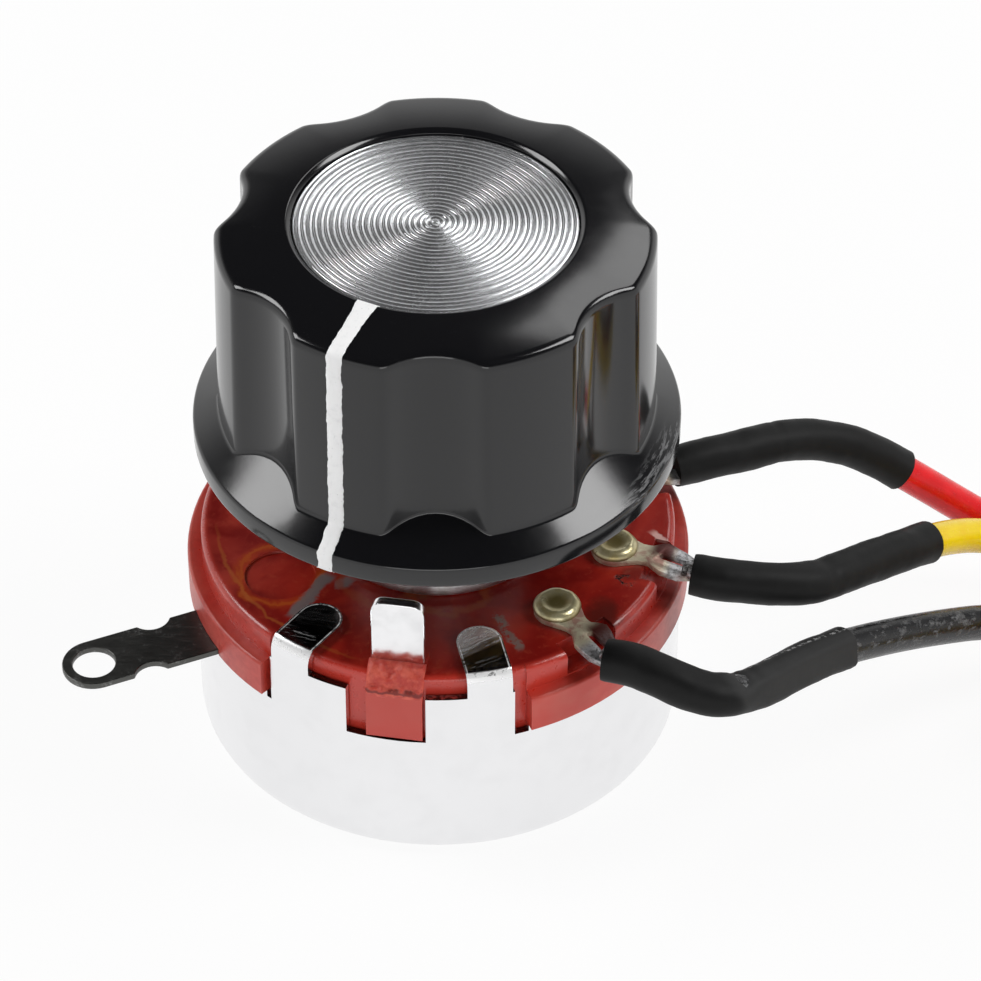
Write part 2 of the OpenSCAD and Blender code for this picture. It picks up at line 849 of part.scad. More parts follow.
collector_gap = 0.25;
collector_inside = foot_radius + collector_gap;
collector_outside = track_inside - collector_gap;
collector_level = plate_level - wiper_sheet;

module collector_ring() {
    arm = 2.2;
    color([0.8, 0.8, 0.78])
        difference() {
            union() {
                translate([0, 0, collector_level])
                    cylinder(r = collector_outside, h = wiper_sheet);
                spoke(terminal_bearing, 0, rivet_circle, arm, collector_level, plate_level);
                at_bearing(terminal_bearing, rivet_circle, collector_level)
                    cylinder(r = rivet_radius + rivet_spread + collector_gap, h = wiper_sheet);
            }
            translate([0, 0, collector_level - over])
                cylinder(r = collector_inside, h = wiper_sheet + 2 * over);
            at_bearing(terminal_bearing, rivet_circle, collector_level - over)
                cylinder(r = rivet_radius, h = wiper_sheet + 2 * over);
        }
}

// The terminals and their rivets.
rivet_radius = 0.8;
rivet_rise = 0.6;
rivet_spread = 0.3;
eyelet_flare = 0.4;
eye_width = 0.9;
eye_length = 1.5;

module terminal(bearing) {
    half = terminal_width / 2;
    rotate([0, 0, bearing])
        translate([0, 0, plateau_level])
            linear_extrude(height = terminal_sheet)
                difference() {
                    union() {
                        translate([rivet_circle, 0])
                            circle(r = half + eyelet_flare);
                        translate([rivet_circle, -half])
                            square([terminal_tip - half - rivet_circle, terminal_width]);
                        translate([terminal_tip - half, 0])
                            circle(r = half);
                    }
                    translate([rivet_circle, 0])
                        circle(r = rivet_radius);
                    translate([terminal_tip - half, 0])
                        circle(r = eye_width / 2);
                    translate([terminal_tip - half - eye_length + eye_width, -eye_width / 2])
                        square([eye_length - eye_width, eye_width]);
                    translate([terminal_tip - half - eye_length + eye_width, 0])
                        circle(r = eye_width / 2);
                }
}

module terminal_start() {
    color([0.78, 0.76, 0.7])
        terminal(terminal_bearings[0]);
}

module terminal_wiper() {
    color([0.78, 0.76, 0.7])
        terminal(terminal_bearings[1]);
}

module terminal_end() {
    color([0.78, 0.76, 0.7])
        terminal(terminal_bearings[2]);
}

// A rivet's shank, its domed head over the terminal and its spread tail under the track.
module rivet(tail_level) {
    head_level = plateau_level + terminal_sheet;
    dome = (rivet_head * rivet_head + rivet_rise * rivet_rise) / (2 * rivet_rise);
    translate([0, 0, tail_level])
        cylinder(r = rivet_radius, h = head_level - tail_level);
    translate([0, 0, tail_level - rivet_spread])
        cylinder(r = rivet_radius + rivet_spread, h = rivet_spread);
    intersection() {
        translate([0, 0, head_level + rivet_rise - dome])
            sphere(r = dome);
        translate([0, 0, head_level])
            cylinder(r = rivet_head, h = 2 * rivet_rise);
    }
}

module terminal_rivets() {
    color([0.72, 0.62, 0.36])
        for (k = [0 : 2])
            at_bearing(terminal_bearings[k], rivet_circle, 0)
                rivet(k == 1 ? collector_level : track_level);
}

// Solder fills each terminal's eye and wets the bared end of the lead.
wire_radius = 0.5;

module solder_joint(bearing, route) {
    eye = (terminal_tip - terminal_width / 2) * [cos(bearing), sin(bearing)];
    base = plateau_level + terminal_sheet;
    start = [eye[0], eye[1], base + wire_radius];
    run = route[0] - start;
    turn = atan2(run[1], run[0]);
    dip = atan2(norm([run[0], run[1]]), run[2]);
    translate([0, 0, base])
        intersection() {
            translate([eye[0], eye[1], 0])
                sphere(r = solder_radius);
            translate([eye[0], eye[1], 0])
                cylinder(r = solder_radius, h = solder_radius);
        }
    translate(start)
        rotate([0, dip, turn])
            cylinder(r = wire_radius, h = norm(run));
}

module solder_joints() {
    color([0.7, 0.71, 0.73]) {
        solder_joint(terminal_bearings[0], sleeve_black_route);
        solder_joint(terminal_bearings[1], sleeve_yellow_route);
        solder_joint(terminal_bearings[2], sleeve_red_route);
    }
}

// The earth lug lies on the can's rim and is held by the flange.
lug_sheet = 0.4;
root_half_span = 12;
root_margin = 0.4;
root_radius = flange_radius - root_margin;
notch_distance = 3.4;
notch_stagger = 0.7;

module earth_lug_blank(grow = 0, reach = 0) {
    half = lug_width / 2 + grow;
    translate([0, 0, rim_level - reach]) {
        rotate([0, 0, lug_bearing])
            linear_extrude(height = lug_sheet + grow + reach)
                union() {
                    translate([can_inside - grow, -half])
                        square([lug_hole_distance - can_inside + grow, 2 * half]);
                    translate([lug_hole_distance, 0])
                        circle(r = half);
                }
        sector(root_radius + grow, can_inside - grow, 0, lug_sheet + grow + reach,
            lug_bearing - root_half_span, lug_bearing + root_half_span);
    }
}

module earth_lug() {
    notch = 1.1;
    bite = 0.55;
    color([0.6, 0.6, 0.6])
        difference() {
            earth_lug_blank();
            at_bearing(lug_bearing, lug_hole_distance, rim_level - over)
                cylinder(d = lug_hole_diameter, h = lug_sheet + 2 * over);
            for (side = [-1, 1])
                rotate([0, 0, lug_bearing])
                    translate([
                        lug_hole_distance - notch_distance + side * notch_stagger,
                        side * (lug_width / 2 + notch - bite),
                        rim_level - over
                    ])
                        cylinder(r = notch, h = lug_sheet + 2 * over);
        }
}

module locating_lug() {
    color([0.9, 0.9, 0.9])
        locating_blade();
}

// The sleeves and the leads.
red = [0.8, 0.05, 0.06];
yellow = [0.95, 0.78, 0.08];
black = [0.07, 0.07, 0.08];

module sleeve(route) {
    color(black)
        tube(route, sleeve_diameter / 2, cord_sides);
}

module stretch(route, first = [0, 0, 0], last = [1, 0, 0]) {
    tube(route, lead_radius, cord_sides, first, last);
}

module sleeve_red() {
    sleeve(sleeve_red_route);
}

module sleeve_yellow() {
    sleeve(sleeve_yellow_route);
}

module sleeve_black() {
    sleeve(sleeve_black_route);
}

function sleeve_end(route) = heading(route, len(route) - 1);

module lead_red() {
    color(red)
        stretch(lead_red_route, sleeve_end(sleeve_red_route));
}

module lead_yellow() {
    color(yellow)
        stretch(lead_yellow_route, sleeve_end(sleeve_yellow_route));
}

module lead_black() {
    color(black)
        stretch(lead_black_route, sleeve_end(sleeve_black_route));
}

module coil_red() {
    color(red)
        coil(red_place);
}

module coil_yellow() {
    color(yellow)
        coil(yellow_place);
}

module coil_black() {
    color(black)
        coil(black_place);
}

module tail_red() {
    color(red)
        stretch(tail_red_route, [1, 0, 0]);
}

module tail_yellow() {
    color(yellow)
        stretch(tail_yellow_route, [1, 0, 0]);
}

module tail_black() {
    color(black)
        stretch(tail_black_route, [1, 0, 0]);
}

// A strap holds the coil where its end crosses over its start.
module coil_tie() {
    low = tie_slack;
    high = lay_level + coil_rise + lay_radius + lead_radius + tie_room;
    half = lay_radius + lead_radius + tie_slack;
    color([0.1, 0.1, 0.11])
        translate([coil_centre[0] - tie_width / 2, coil_centre[1] + coil_radius, 0])
            difference() {
                translate([0, -half - tie_thickness, low])
                    cube([tie_width, 2 * (half + tie_thickness), high - low + tie_thickness]);
                translate([-over, -half, low + tie_thickness])
                    cube([tie_width + 2 * over, 2 * half, high - low - tie_thickness]);
            }
}

// The plug: a white housing with a lead entry and a pin mouth for each way.
module plug_ways_at() {
    for (k = [0 : plug_ways - 1])
        translate([0, plug_middle + (k - (plug_ways - 1) / 2) * plug_pitch, plug_axis])
            children();
}

module plug_housing() {
    entry_radius = lead_radius + 1.5 * fit;
    mouth = 1.2;
    key_width = 1;
    key_depth = 0.5;
    nose = 3.2;
    color([0.93, 0.92, 0.88])
        difference() {
            translate([plug_entry, plug_middle - plug_width / 2, 0])
                cube([plug_length, plug_width, plug_height]);
            plug_ways_at() {
                translate([plug_entry - over, 0, 0])
                    rotate([0, 90, 0])
                        cylinder(r = entry_radius, h = contact_start - plug_entry + over);
                translate([contact_start - fit, -contact_size / 2 - fit, -contact_size / 2 - fit])
                    cube([contact_length + 2 * fit, contact_size + 2 * fit, contact_size + 2 * fit]);
                translate([contact_start + contact_length, -mouth / 2, -mouth / 2])
                    cube([plug_length, mouth, mouth]);
            }
            for (side = [-1, 1])
                translate([plug_entry + plug_length - nose,
                        plug_middle + side * plug_width / 2 - key_depth, plug_axis - key_width])
                    cube([nose + over, 2 * key_depth, 2 * key_width]);
            translate([plug_entry + plug_length - nose, plug_middle - plug_pitch / 2,
                    plug_height - key_depth])
                cube([nose + over, plug_pitch, 2 * key_depth]);
        }
}

module plug_contacts() {
    inner = contact_size - 2 * contact_sheet;
    color([0.8, 0.8, 0.78])
        plug_ways_at()
            translate([contact_start, 0, 0])
                difference() {
                    translate([0, -contact_size / 2, -contact_size / 2])
                        cube([contact_length, contact_size, contact_size]);
                    translate([contact_sheet, -inner / 2, -inner / 2])
                        cube([contact_length, inner, inner]);
                }
}

knob_body();
knob_disc();
pointer_line();
knob_bush();
grub_screws();
shaft();
retaining_clip();
rotor_disc();
wiper_spring();
carbon_brush();
base_moulding();
bushing();
can();
insulator_disc();
resistance_track();
collector_ring();
terminal_start();
terminal_wiper();
terminal_end();
terminal_rivets();
solder_joints();
earth_lug();
locating_lug();
sleeve_red();
sleeve_yellow();
sleeve_black();
lead_red();
lead_yellow();
lead_black();
coil_red();
coil_yellow();
coil_black();
tail_red();
tail_yellow();
tail_black();
coil_tie();
plug_housing();
plug_contacts();
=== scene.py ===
from math import copysign, cos, exp, hypot, pi, radians, sin, sqrt, tan

import bmesh
import bpy
from mathutils import Matrix, Vector, noise


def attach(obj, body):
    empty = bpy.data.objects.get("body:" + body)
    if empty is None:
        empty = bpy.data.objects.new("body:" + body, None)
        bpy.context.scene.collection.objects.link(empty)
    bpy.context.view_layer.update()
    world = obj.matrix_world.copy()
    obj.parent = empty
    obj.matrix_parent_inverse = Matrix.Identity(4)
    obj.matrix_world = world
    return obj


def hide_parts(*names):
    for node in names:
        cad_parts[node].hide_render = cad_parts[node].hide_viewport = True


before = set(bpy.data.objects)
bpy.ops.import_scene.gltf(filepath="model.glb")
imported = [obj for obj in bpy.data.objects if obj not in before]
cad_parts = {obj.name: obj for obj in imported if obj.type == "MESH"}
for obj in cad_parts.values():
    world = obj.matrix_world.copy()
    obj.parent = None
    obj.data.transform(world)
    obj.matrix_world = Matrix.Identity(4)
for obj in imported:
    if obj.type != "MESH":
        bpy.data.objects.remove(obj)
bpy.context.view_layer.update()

MM = 0.001
STILL = "control"
TURNING = "knob_and_shaft"

# Heights up the shaft and the sizes that the pieces share, in millimetres. Bearings are in degrees.
PLATEAU = 12.9
KNOB_FOOT = 19.7
KNOB_TOP = 33.9
LOBE = 11.9
DRAFT = 0.2
FLUTE_FLOOR = 10.7
FLUTE_RADIUS = 4.34
FLUTE_CENTRE = FLUTE_FLOOR + FLUTE_RADIUS
LOBES = 7
POINTER = -115.5
SEAT, LIP = 7.65, 7.9  # the inlay's seat and the top's inner edge
FLANGE, SLOPE_START = 13.3, 13.15
RIM, SCALLOP = 1.3, 3.0  # heights of the flange at its edge and in a flute, above the knob's foot
SLOPE = (SCALLOP - RIM) / (SLOPE_START - FLUTE_FLOOR)
BROW = 0.65  # how far the top falls from its lip to a lobe
TERMINALS = (-50.0, -16.7, 16.6)
RIVETS = 10.18
GRUB_FLUTES = (2, 4)
EJECTOR_MARK, MARK_REACH = -150.5, 9.9
POST, POST_HALF = -99.6, 1.56
FINGERS = ((-125.7, 0.02), (-77.5, 0.4))  # bearing, and how much the top shows brushing and how dark its outer part is painted as shade
FINGER_TIP = 10.85
LEAD = 1.0
SLEEVE = 1.2
COIL = Vector((51, -6, 2.5))
COIL_RADIUS, COIL_LIFT, BUNDLE = 11, 5.6, 1.5


def placed(name, data):
    """A new object in the scene."""
    thing = bpy.data.objects.new(name, data)
    bpy.context.collection.objects.link(thing)
    return thing


def place_camera():
    """The photograph's camera: a long lens that looks down on the knob from the front."""
    lens = bpy.data.cameras.new("studio_camera")
    lens.lens, lens.sensor_width = 165.14, 36.0
    lens.clip_start, lens.clip_end = 0.01, 20.0
    holder = placed("studio_camera", lens)
    spot = Matrix.Translation((2.92 * MM, -186.68 * MM, 179.90 * MM))
    holder.matrix_world = spot @ Matrix.Rotation(radians(48.51), 4, "X") @ Matrix.Rotation(0.0022, 4, "Z")
    bpy.context.scene.camera = holder


def soft_box(name, bearing, height, distance, size, radiance):
    """A flat lamp that faces the object from a bearing and an elevation, in degrees."""
    lamp = bpy.data.lights.new(name, "AREA")
    lamp.shape = "RECTANGLE"
    lamp.size, lamp.size_y = size
    lamp.energy = radiance * pi * size[0] * size[1]
    holder = placed(name, lamp)
    a, e = radians(bearing), radians(height)
    way = Vector((cos(a) * cos(e), sin(a) * cos(e), sin(e)))
    holder.location = way * distance + Vector((0, 0, 0.015))
    holder.rotation_euler = way.to_track_quat("Z", "Y").to_euler()


place_camera()


ROUTES = {
    "yellow": {
        "sleeve": [(14.1, -4.9, 13), (15.6, -5.2, 12.9), (17.4, -5.1, 12.6), (19.2, -4.8, 12.2),
                   (20.8, -4.1, 11.8), (22.3, -2.8, 11.2), (24.1, -1.1, 10.5), (26, 0.7, 9.7), (27.6, 2.3, 8.9)],
        "lead": [(27.6, 2.3, 8.9), (29.3, 3.9, 7.9), (31.1, 5.1, 6.9), (33.8, 5.8, 5.8), (37, 5.9, 4.8),
                 (41, 5.4, 4.2), (45, 5.1, 4), (49, 5, 4)],
        "place": 90,
        "tail": [(53, 5, 9.6), (55, 5, 9.5), (57, 5, 9), (59, 5, 7.8), (61, 5, 6.3), (63, 5, 4.9),
                 (65, 5, 3.9), (67, 5, 3.2), (70, 5, 2.9), (73, 5, 2.9)],
    },
    "red": {
        "sleeve": [(13.9, 4.2, 13.1), (15.4, 4.8, 13.1), (17, 5.5, 12.95), (19.1, 6.6, 12.7), (21.2, 7.5, 12.1),
                   (23.2, 8.1, 11.2), (25, 8.4, 10.1), (26.6, 8.5, 8.9)],
        "lead": [(26.6, 8.5, 8.9), (28.4, 8.6, 7.5), (29.9, 8.7, 6.3), (31.7, 8.7, 5), (34.4, 8.4, 3.4),
                 (37.6, 7.8, 2.3), (41, 7.1, 1.8), (45, 6.5, 1.75), (49, 6.3, 1.75)],
        "place": -30,
        "tail": [(53, 6.3, 7.35), (55, 6.35, 7.35), (57, 6.5, 6.9), (59, 6.8, 5.9), (61, 7.1, 4.8),
                 (63, 7.3, 3.8), (65, 7.4, 3.15), (67, 7.5, 2.9), (70, 7.5, 2.9), (73, 7.5, 2.9)],
    },
    "black": {
        "sleeve": [(9.2, -11.8, 13.1), (10.6, -12.2, 13.1), (12, -12.8, 12.9), (13.5, -13.3, 12.5),
                   (15, -13.4, 12.1), (16.9, -12.4, 11.5), (18.9, -10.4, 10.8), (20.7, -8.5, 10.1),
                   (22.3, -7, 9.5)],
        "lead": [(22.3, -7, 9.5), (25.1, -4.9, 8.4), (28.1, -2.9, 7.2), (30.8, -1.3, 6.1), (34, 0.4, 4.5),
                 (37.5, 1.9, 3.1), (41, 2.9, 2.15), (45, 3.5, 1.8), (49, 3.7, 1.75)],
        "place": 210,
        "tail": [(53, 3.7, 7.35), (55, 3.65, 7.35), (57, 3.5, 6.9), (59, 3.2, 5.9), (61, 2.9, 4.8),
                 (63, 2.7, 3.8), (65, 2.6, 3.15), (67, 2.5, 2.9), (70, 2.5, 2.9), (73, 2.5, 2.9)],
    },
}


def coil_line(place, steps=30):
    """One clockwise turn of a lead in the bundle, rising over its own start, with one full twist."""
    points = []
    for k in range(steps + 1):
        degrees = 360 * k / steps
        t = radians(degrees)
        twist = t + radians(place)
        out, up = BUNDLE * cos(twist), BUNDLE * sin(twist)
        points.append((
            COIL.x + (COIL_RADIUS + out) * sin(t),
            COIL.y + (COIL_RADIUS + out) * cos(t),
            COIL.z + COIL_LIFT * eased((degrees - 130) / 170) + up,
        ))
    return points


def smooth_line(points, steps=4):
    """A curve through all the points, with steps new points to a stretch."""
    held = [Vector(p) for p in points]
    held = [held[0] * 2 - held[1]] + held + [held[-1] * 2 - held[-2]]
    line = []
    for a, b, c, d in zip(held, held[1:], held[2:], held[3:]):
        for k in range(steps):
            t = k / steps
            bend, twist = 2 * a - 5 * b + 4 * c - d, 3 * b - a - 3 * c + d
            line.append(0.5 * (2 * b + (c - a) * t + bend * t * t + twist * t ** 3))
    line.append(held[-2])
    return line


def line_length(line):
    return sum((b - a).length for a, b in zip(line, line[1:]))


def lead_line(colour):
    route = ROUTES[colour]
    coil = coil_line(route["place"])[1:-1]
    return smooth_line(route["sleeve"] + route["lead"][1:] + coil + route["tail"])


def built(tree, kind, terms, output=0, **settings):
    """A new shader node, as a Value of one output. terms feeds its inputs by name or number."""
    node = tree.nodes.new("ShaderNode" + kind)
    for name, setting in settings.items():
        setattr(node, name, setting)
    for port, term in terms.items():
        feed(tree, node.inputs[port], term)
    return Value(tree, node.outputs[output])


def operator(operation, swapped=False):
    """A Python operator that adds a Math node."""
    def method(self, other):
        return self.node(operation, *((other, self) if swapped else (self, other)))
    return method


class Value:
    """A number that varies over a surface. Sums of values add their Math nodes."""

    __add__ = __radd__ = operator("ADD")
    __mul__ = __rmul__ = operator("MULTIPLY")
    __sub__, __rsub__ = operator("SUBTRACT"), operator("SUBTRACT", swapped=True)
    __pow__ = operator("POWER")
    larger, smaller = operator("MAXIMUM"), operator("MINIMUM")

    def __init__(self, tree, socket):
        self.tree, self.socket = tree, socket

    def node(self, operation, *terms, clamp=False):
        return built(self.tree, "Math", dict(enumerate(terms)), operation=operation, use_clamp=clamp)

    def clipped(self):
        return self.node("ADD", self, 0.0, clamp=True)

    def size(self):
        return self.node("ABSOLUTE", self)

    def sine(self):
        return self.node("SINE", self)

    def rise(self, low, high, from_value=0.0, to_value=1.0):
        """from_value below low and to_value above high, with a smooth step between them."""
        terms = dict(enumerate((self, low, high, from_value, to_value)))
        return built(self.tree, "MapRange", terms, interpolation_type="SMOOTHSTEP")

    def fall(self, low, high):
        """1 below low and 0 above high."""
        return self.rise(low, high, 1.0, 0.0)


def feed(tree, port, term):
    if isinstance(term, Value):
        tree.links.new(term.socket, port)
    elif isinstance(term, tuple) and len(term) == 3 and port.type == "RGBA":
        port.default_value = (*term, 1.0)
    elif term is not None:
        port.default_value = term


class Finish:
    """A procedural finish. Its places are the object's own, in millimetres."""

    def __init__(self, name, colour, roughness=0.4, metallic=0.0, **constants):
        self.material = bpy.data.materials.new(name)
        self.material.use_nodes = True
        self.tree = self.material.node_tree
        self.shader = next(n for n in self.tree.nodes if n.type == "BSDF_PRINCIPLED")
        self.set(Base_Color=colour, Roughness=roughness, Metallic=metallic, **constants)
        self.place = self.vector("SCALE", self.add("TexCoord", {}, "Object"), scale=1000.0)
        parts = self.add("SeparateXYZ", {0: self.place}).socket.node
        self.x, self.y, self.z = (Value(self.tree, port) for port in parts.outputs)

    def set(self, **sockets):
        for name, term in sockets.items():
            feed(self.tree, self.shader.inputs[name.replace("_", " ")], term)
        return self

    def coat(self, base, roughness):
        return self.set(Base_Color=base, Roughness=roughness.clipped())

    def add(self, *node, **settings):
        return built(self.tree, *node, **settings)

    def vector(self, operation, first, second=None, scale=None):
        return self.add("VectorMath", {0: first, 1: second, 3: scale}, operation=operation)

    def stretched(self, x, y, z):
        return self.vector("MULTIPLY", self.place, (x, y, z))

    def point(self, x, y, z):
        return self.add("CombineXYZ", {0: x, 1: y, 2: z})

    def noise(self, scale, detail=2.0, roughness=0.5, distortion=0.0, at=None):
        return self.add("TexNoise", {"Vector": at or self.place, "Scale": scale, "Detail": detail,
                                     "Roughness": roughness, "Distortion": distortion})

    def cells(self, scale):
        return self.add("TexVoronoi", {"Vector": self.place, "Scale": scale}, "Distance")

    def radius(self):
        return (self.x * self.x + self.y * self.y) ** 0.5

    def turn(self, bearing):
        """Distance along and across a bearing from the shaft's axis."""
        c, s = cos(radians(bearing)), sin(radians(bearing))
        return self.x * c + self.y * s, self.y * c - self.x * s

    def mix(self, share, low, high):
        return self.add("Mix", {0: share, 6: low, 7: high}, 2, data_type="RGBA", clamp_factor=True)

    def bump(self, height, strength=0.3, distance=0.05):
        """Height in millimetres of a relief too fine to model."""
        terms = {"Strength": strength, "Distance": distance * MM, "Height": height}
        return self.set(Normal=self.add("Bump", terms))

    def on(self, node):
        """Gives a CAD node this finish."""
        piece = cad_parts[node]
        if not piece.material_slots:
            piece.data.materials.append(self.material)
        for port in piece.material_slots:
            port.material = self.material


def moulded_black():
    f = Finish("glossy_black_moulding", (0.006, 0.006, 0.007), Specular_IOR_Level=0.55)
    rubbing_and_sheen = f.noise(0.8, 3.0, 0.6)
    dust = f.noise(9.0, 4.0, 0.65)
    specks = f.cells(5.0).fall(0.03, 0.07) * f.noise(1.3, 2.0).rise(0.5, 0.62)
    worn = f.z.rise(KNOB_FOOT + 0.6, KNOB_FOOT + 1.5) * f.z.fall(KNOB_FOOT + 1.6, KNOB_FOOT + 2.3)
    out, across = f.turn(-21.0)
    strokes = f.point(across * 0.7, f.radius() * 5.0, f.z * 5.0)
    worn = worn * f.noise(1.0, 4.0, 0.7, at=strokes).rise(0.46, 0.6) * out.rise(12.0, 13.0)
    f.coat(f.mix(specks * 0.5 + worn * 0.7, (0.005, 0.005, 0.006), (0.2, 0.2, 0.205)),
           0.1 + rubbing_and_sheen * 0.07 + dust.rise(0.58, 0.8) * 0.06 + worn * 0.3)
    return f.bump(rubbing_and_sheen * 0.4 + dust * 0.05 + specks * 0.4 + worn * 0.3, 0.08, 0.06)


def turned_aluminium():
    f = Finish("turned_aluminium", (0.86, 0.87, 0.89), metallic=1.0)
    radius = f.radius()
    streak = f.noise(1.0, 3.0, 0.6, at=f.stretched(0.5, 0.5, 0.0))
    fine = (radius * 92.0 + streak * 5.0).sine()
    grit = f.cells(9.0).fall(0.04, 0.16) * f.noise(0.9, 2.0).rise(0.48, 0.66)
    f.coat(f.mix(grit * 0.5 + fine.rise(-1.0, 1.0) * 0.14, (0.88, 0.89, 0.91), (0.5, 0.5, 0.52)),
           0.2 + streak * 0.1 + grit * 0.25)
    return f.bump(fine * 0.5 + grit * 1.2, 0.35, 0.012)


def filled_white():
    f = Finish("filled_white_paint", (0.86, 0.86, 0.85), 0.5)
    speck = f.cells(5.5).fall(0.05, 0.14) * f.noise(1.6, 3.0).rise(0.5, 0.62)
    grime = f.noise(2.4, 4.0, 0.7).rise(0.5, 0.8)
    base = f.mix(grime * 0.3, (0.94, 0.94, 0.94), (0.6, 0.6, 0.62))
    f.coat(f.mix(speck, base, (0.03, 0.03, 0.03)), 0.42 + grime * 0.25)
    return f.bump(f.noise(5.0, 4.0, 0.6) * 0.8 - speck * 0.5, 0.5, 0.05)


def phenolic_red():
    """Dark red phenolic with the flow marks, flash and chipped edges of a cheap moulding, and with painted light:
    lighter walls, painted sheen, painted reflections, a painted shadow and a painted glint.
    """
    f = Finish("dark_red_phenolic", (0.32, 0.016, 0.01), Specular_IOR_Level=0.6)
    radius = f.radius()
    broad = f.noise(0.3, 3.0, 0.55, 0.6)
    fine = f.noise(2.2, 4.0, 0.6, 0.4)
    wander = f.noise(0.7, 3.0, 0.6, 0.4)
    top = f.z.rise(PLATEAU - 0.3, PLATEAU - 0.1)
    base = f.mix(broad.rise(0.35, 0.68), (0.23, 0.008, 0.006), (0.38, 0.022, 0.012))
    base = f.mix(fine.rise(0.52, 0.75) * 0.25, base, (0.5, 0.07, 0.03))
    # Painted light: the walls outside the plateau are painted a lighter red than its top, and the walls facing
    # the front lighter still.
    outer = radius.rise(12.6, 13.15)
    front = f.y.fall(-12.4, -8.5)
    side = f.mix(fine.rise(0.3, 0.7), (0.46, 0.035, 0.022), (0.36, 0.02, 0.013))
    base = f.mix(outer, base, f.mix(front, side, (0.56, 0.042, 0.026)))
    # Painted sheen: pale pink patches on the flange's outer wall.
    sheen_rim = radius.rise(13.3, 13.9)
    base = f.mix(sheen_rim * (0.05 + broad.rise(0.4, 0.65) * 0.45), base, (0.55, 0.11, 0.08))
    # Painted sheen: the plateau is painted lighter towards bearing 175.
    left_sheen = f.turn(175.0)[0].rise(6.5, 11.0)
    base = f.mix(left_sheen * broad.rise(0.3, 0.6) * 0.45, base, (0.5, 0.06, 0.04))

    def gap_to(bearing, reach, side=0.0, stretch=1.0):
        """How far a place of the plateau is from a point of it, in a wandering measure."""
        along, across = f.turn(bearing)
        along = along - reach
        across = across - side
        return (along * along + across * across * stretch) ** 0.5 + (wander - 0.5) * 1.5

    def ring(bearing, reach, size, width):
        return (gap_to(bearing, reach) - size).size().fall(width * 0.15, width) * top

    def spot(bearing, reach, side, size, soft, stretch=1.0):
        return (gap_to(bearing, reach, side, stretch) + (fine - 0.5) * 0.6).fall(size - soft, size) * top

    def streak(bearing, side, start, end, half):
        along, across = f.turn(bearing)
        wide = (across - side + (wander - 0.5) * 0.9).size() + (fine - 0.5) * 0.3
        length = along.rise(start, start + 0.6) * along.fall(end - 0.6, end)
        return wide.fall(half * 0.4, half) * length * top

    ragged = f.noise(2.6, 4.0, 0.7).rise(0.42, 0.52)
    # Patches on the plateau: moulding marks, with painted light among them where marked.
    patches = (
        (ring(EJECTOR_MARK, MARK_REACH, 2.3, 0.55), (0.42, 0.045, 0.01), 0.75),
        (ring(EJECTOR_MARK, MARK_REACH, 2.35, 0.22), (0.5, 0.1, 0.015), 0.55),
        # Painted reflection of the knob's underside: a grey streak and a grey spot.
        (streak(-121.4, -2.45, 6.9, 11.4, 0.5), (0.17, 0.17, 0.17), 0.85),
        (spot(-133.0, 7.5, 0.0, 0.75, 0.6, 2.0), (0.2, 0.19, 0.19), 0.75),
        (ring(-121.0, 5.9, 2.2, 0.4), (0.36, 0.06, 0.02), 0.5),
        (ring(-84.0, 5.7, 2.3, 0.45), (0.4, 0.08, 0.02), 0.5),
        (spot(-98.0, 6.3, 0.0, 0.9, 0.7, 1.0), (0.3, 0.14, 0.06), 0.4),
        (streak(-67.5, 0.0, 8.3, 12.0, 0.34) * ragged, (0.2, 0.17, 0.15), 0.8),
        # Painted shadow: a dark patch on the plateau between the first lug and its sleeve.
        (spot(-48.0, 12.0, 1.3, 1.6, 1.0, 1.0), (0.09, 0.012, 0.008), 0.85),
        (spot(-24.0, 11.9, 0.2, 1.1, 0.7, 2.0), (0.1, 0.008, 0.006), 0.6),
        # Painted glint: a pale pink streak on the plateau.
        (streak(-55.0, 9.05, 7.6, 9.4, 0.3), (0.8, 0.5, 0.45), 0.85),
    )
    for share, colour, depth in patches:
        base = f.mix(share * depth, base, colour)
    # Painted reflection: an orange line just inside the plateau's edge, towards the front left.
    line = (radius - 12.25 + (wander - 0.5) * 0.6).size().fall(0.03, 0.16)
    line = line * f.turn(-143.0)[0].rise(9.8, 11.8)
    base = f.mix(line * top * 0.5, base, (0.5, 0.13, 0.03))
    nick = spot(-26.5, 11.7, -0.1, 0.55, 0.2, 2.0) * f.noise(2.6, 4.0, 0.8).rise(0.5, 0.56)
    base = f.mix(nick, base, (0.03, 0.004, 0.004))
    f.coat(base, 0.14 + fine * 0.14 + outer * 0.08 + sheen_rim * 0.1)
    return f.bump(broad * 0.8 + fine * 0.22 + f.noise(9.0, 3.0) * 0.05 - nick * 1.5, 0.3, 0.09)


def broken_phenolic():
    f = Finish("broken_phenolic", (0.5, 0.06, 0.04), 0.5)
    grain = f.noise(1.7, 5.0, 0.65)
    crumbs = f.cells(4.0).fall(0.06, 0.2) * grain.rise(0.5, 0.6)
    # Painted shade: the crack across the post's front is painted near black.
    crack = (f.z - 12.1 + (f.noise(0.9, 3.0) - 0.5) * 0.7).size().fall(0.03, 0.12)
    base = f.mix(grain.rise(0.34, 0.7) + crumbs * 0.25, (0.5, 0.036, 0.022), (0.7, 0.12, 0.075))
    f.coat(f.mix(crack * 0.8, base, (0.13, 0.006, 0.004)), 0.34 + grain * 0.3)
    return f.bump(grain + crumbs * 0.3, 0.5, 0.12)


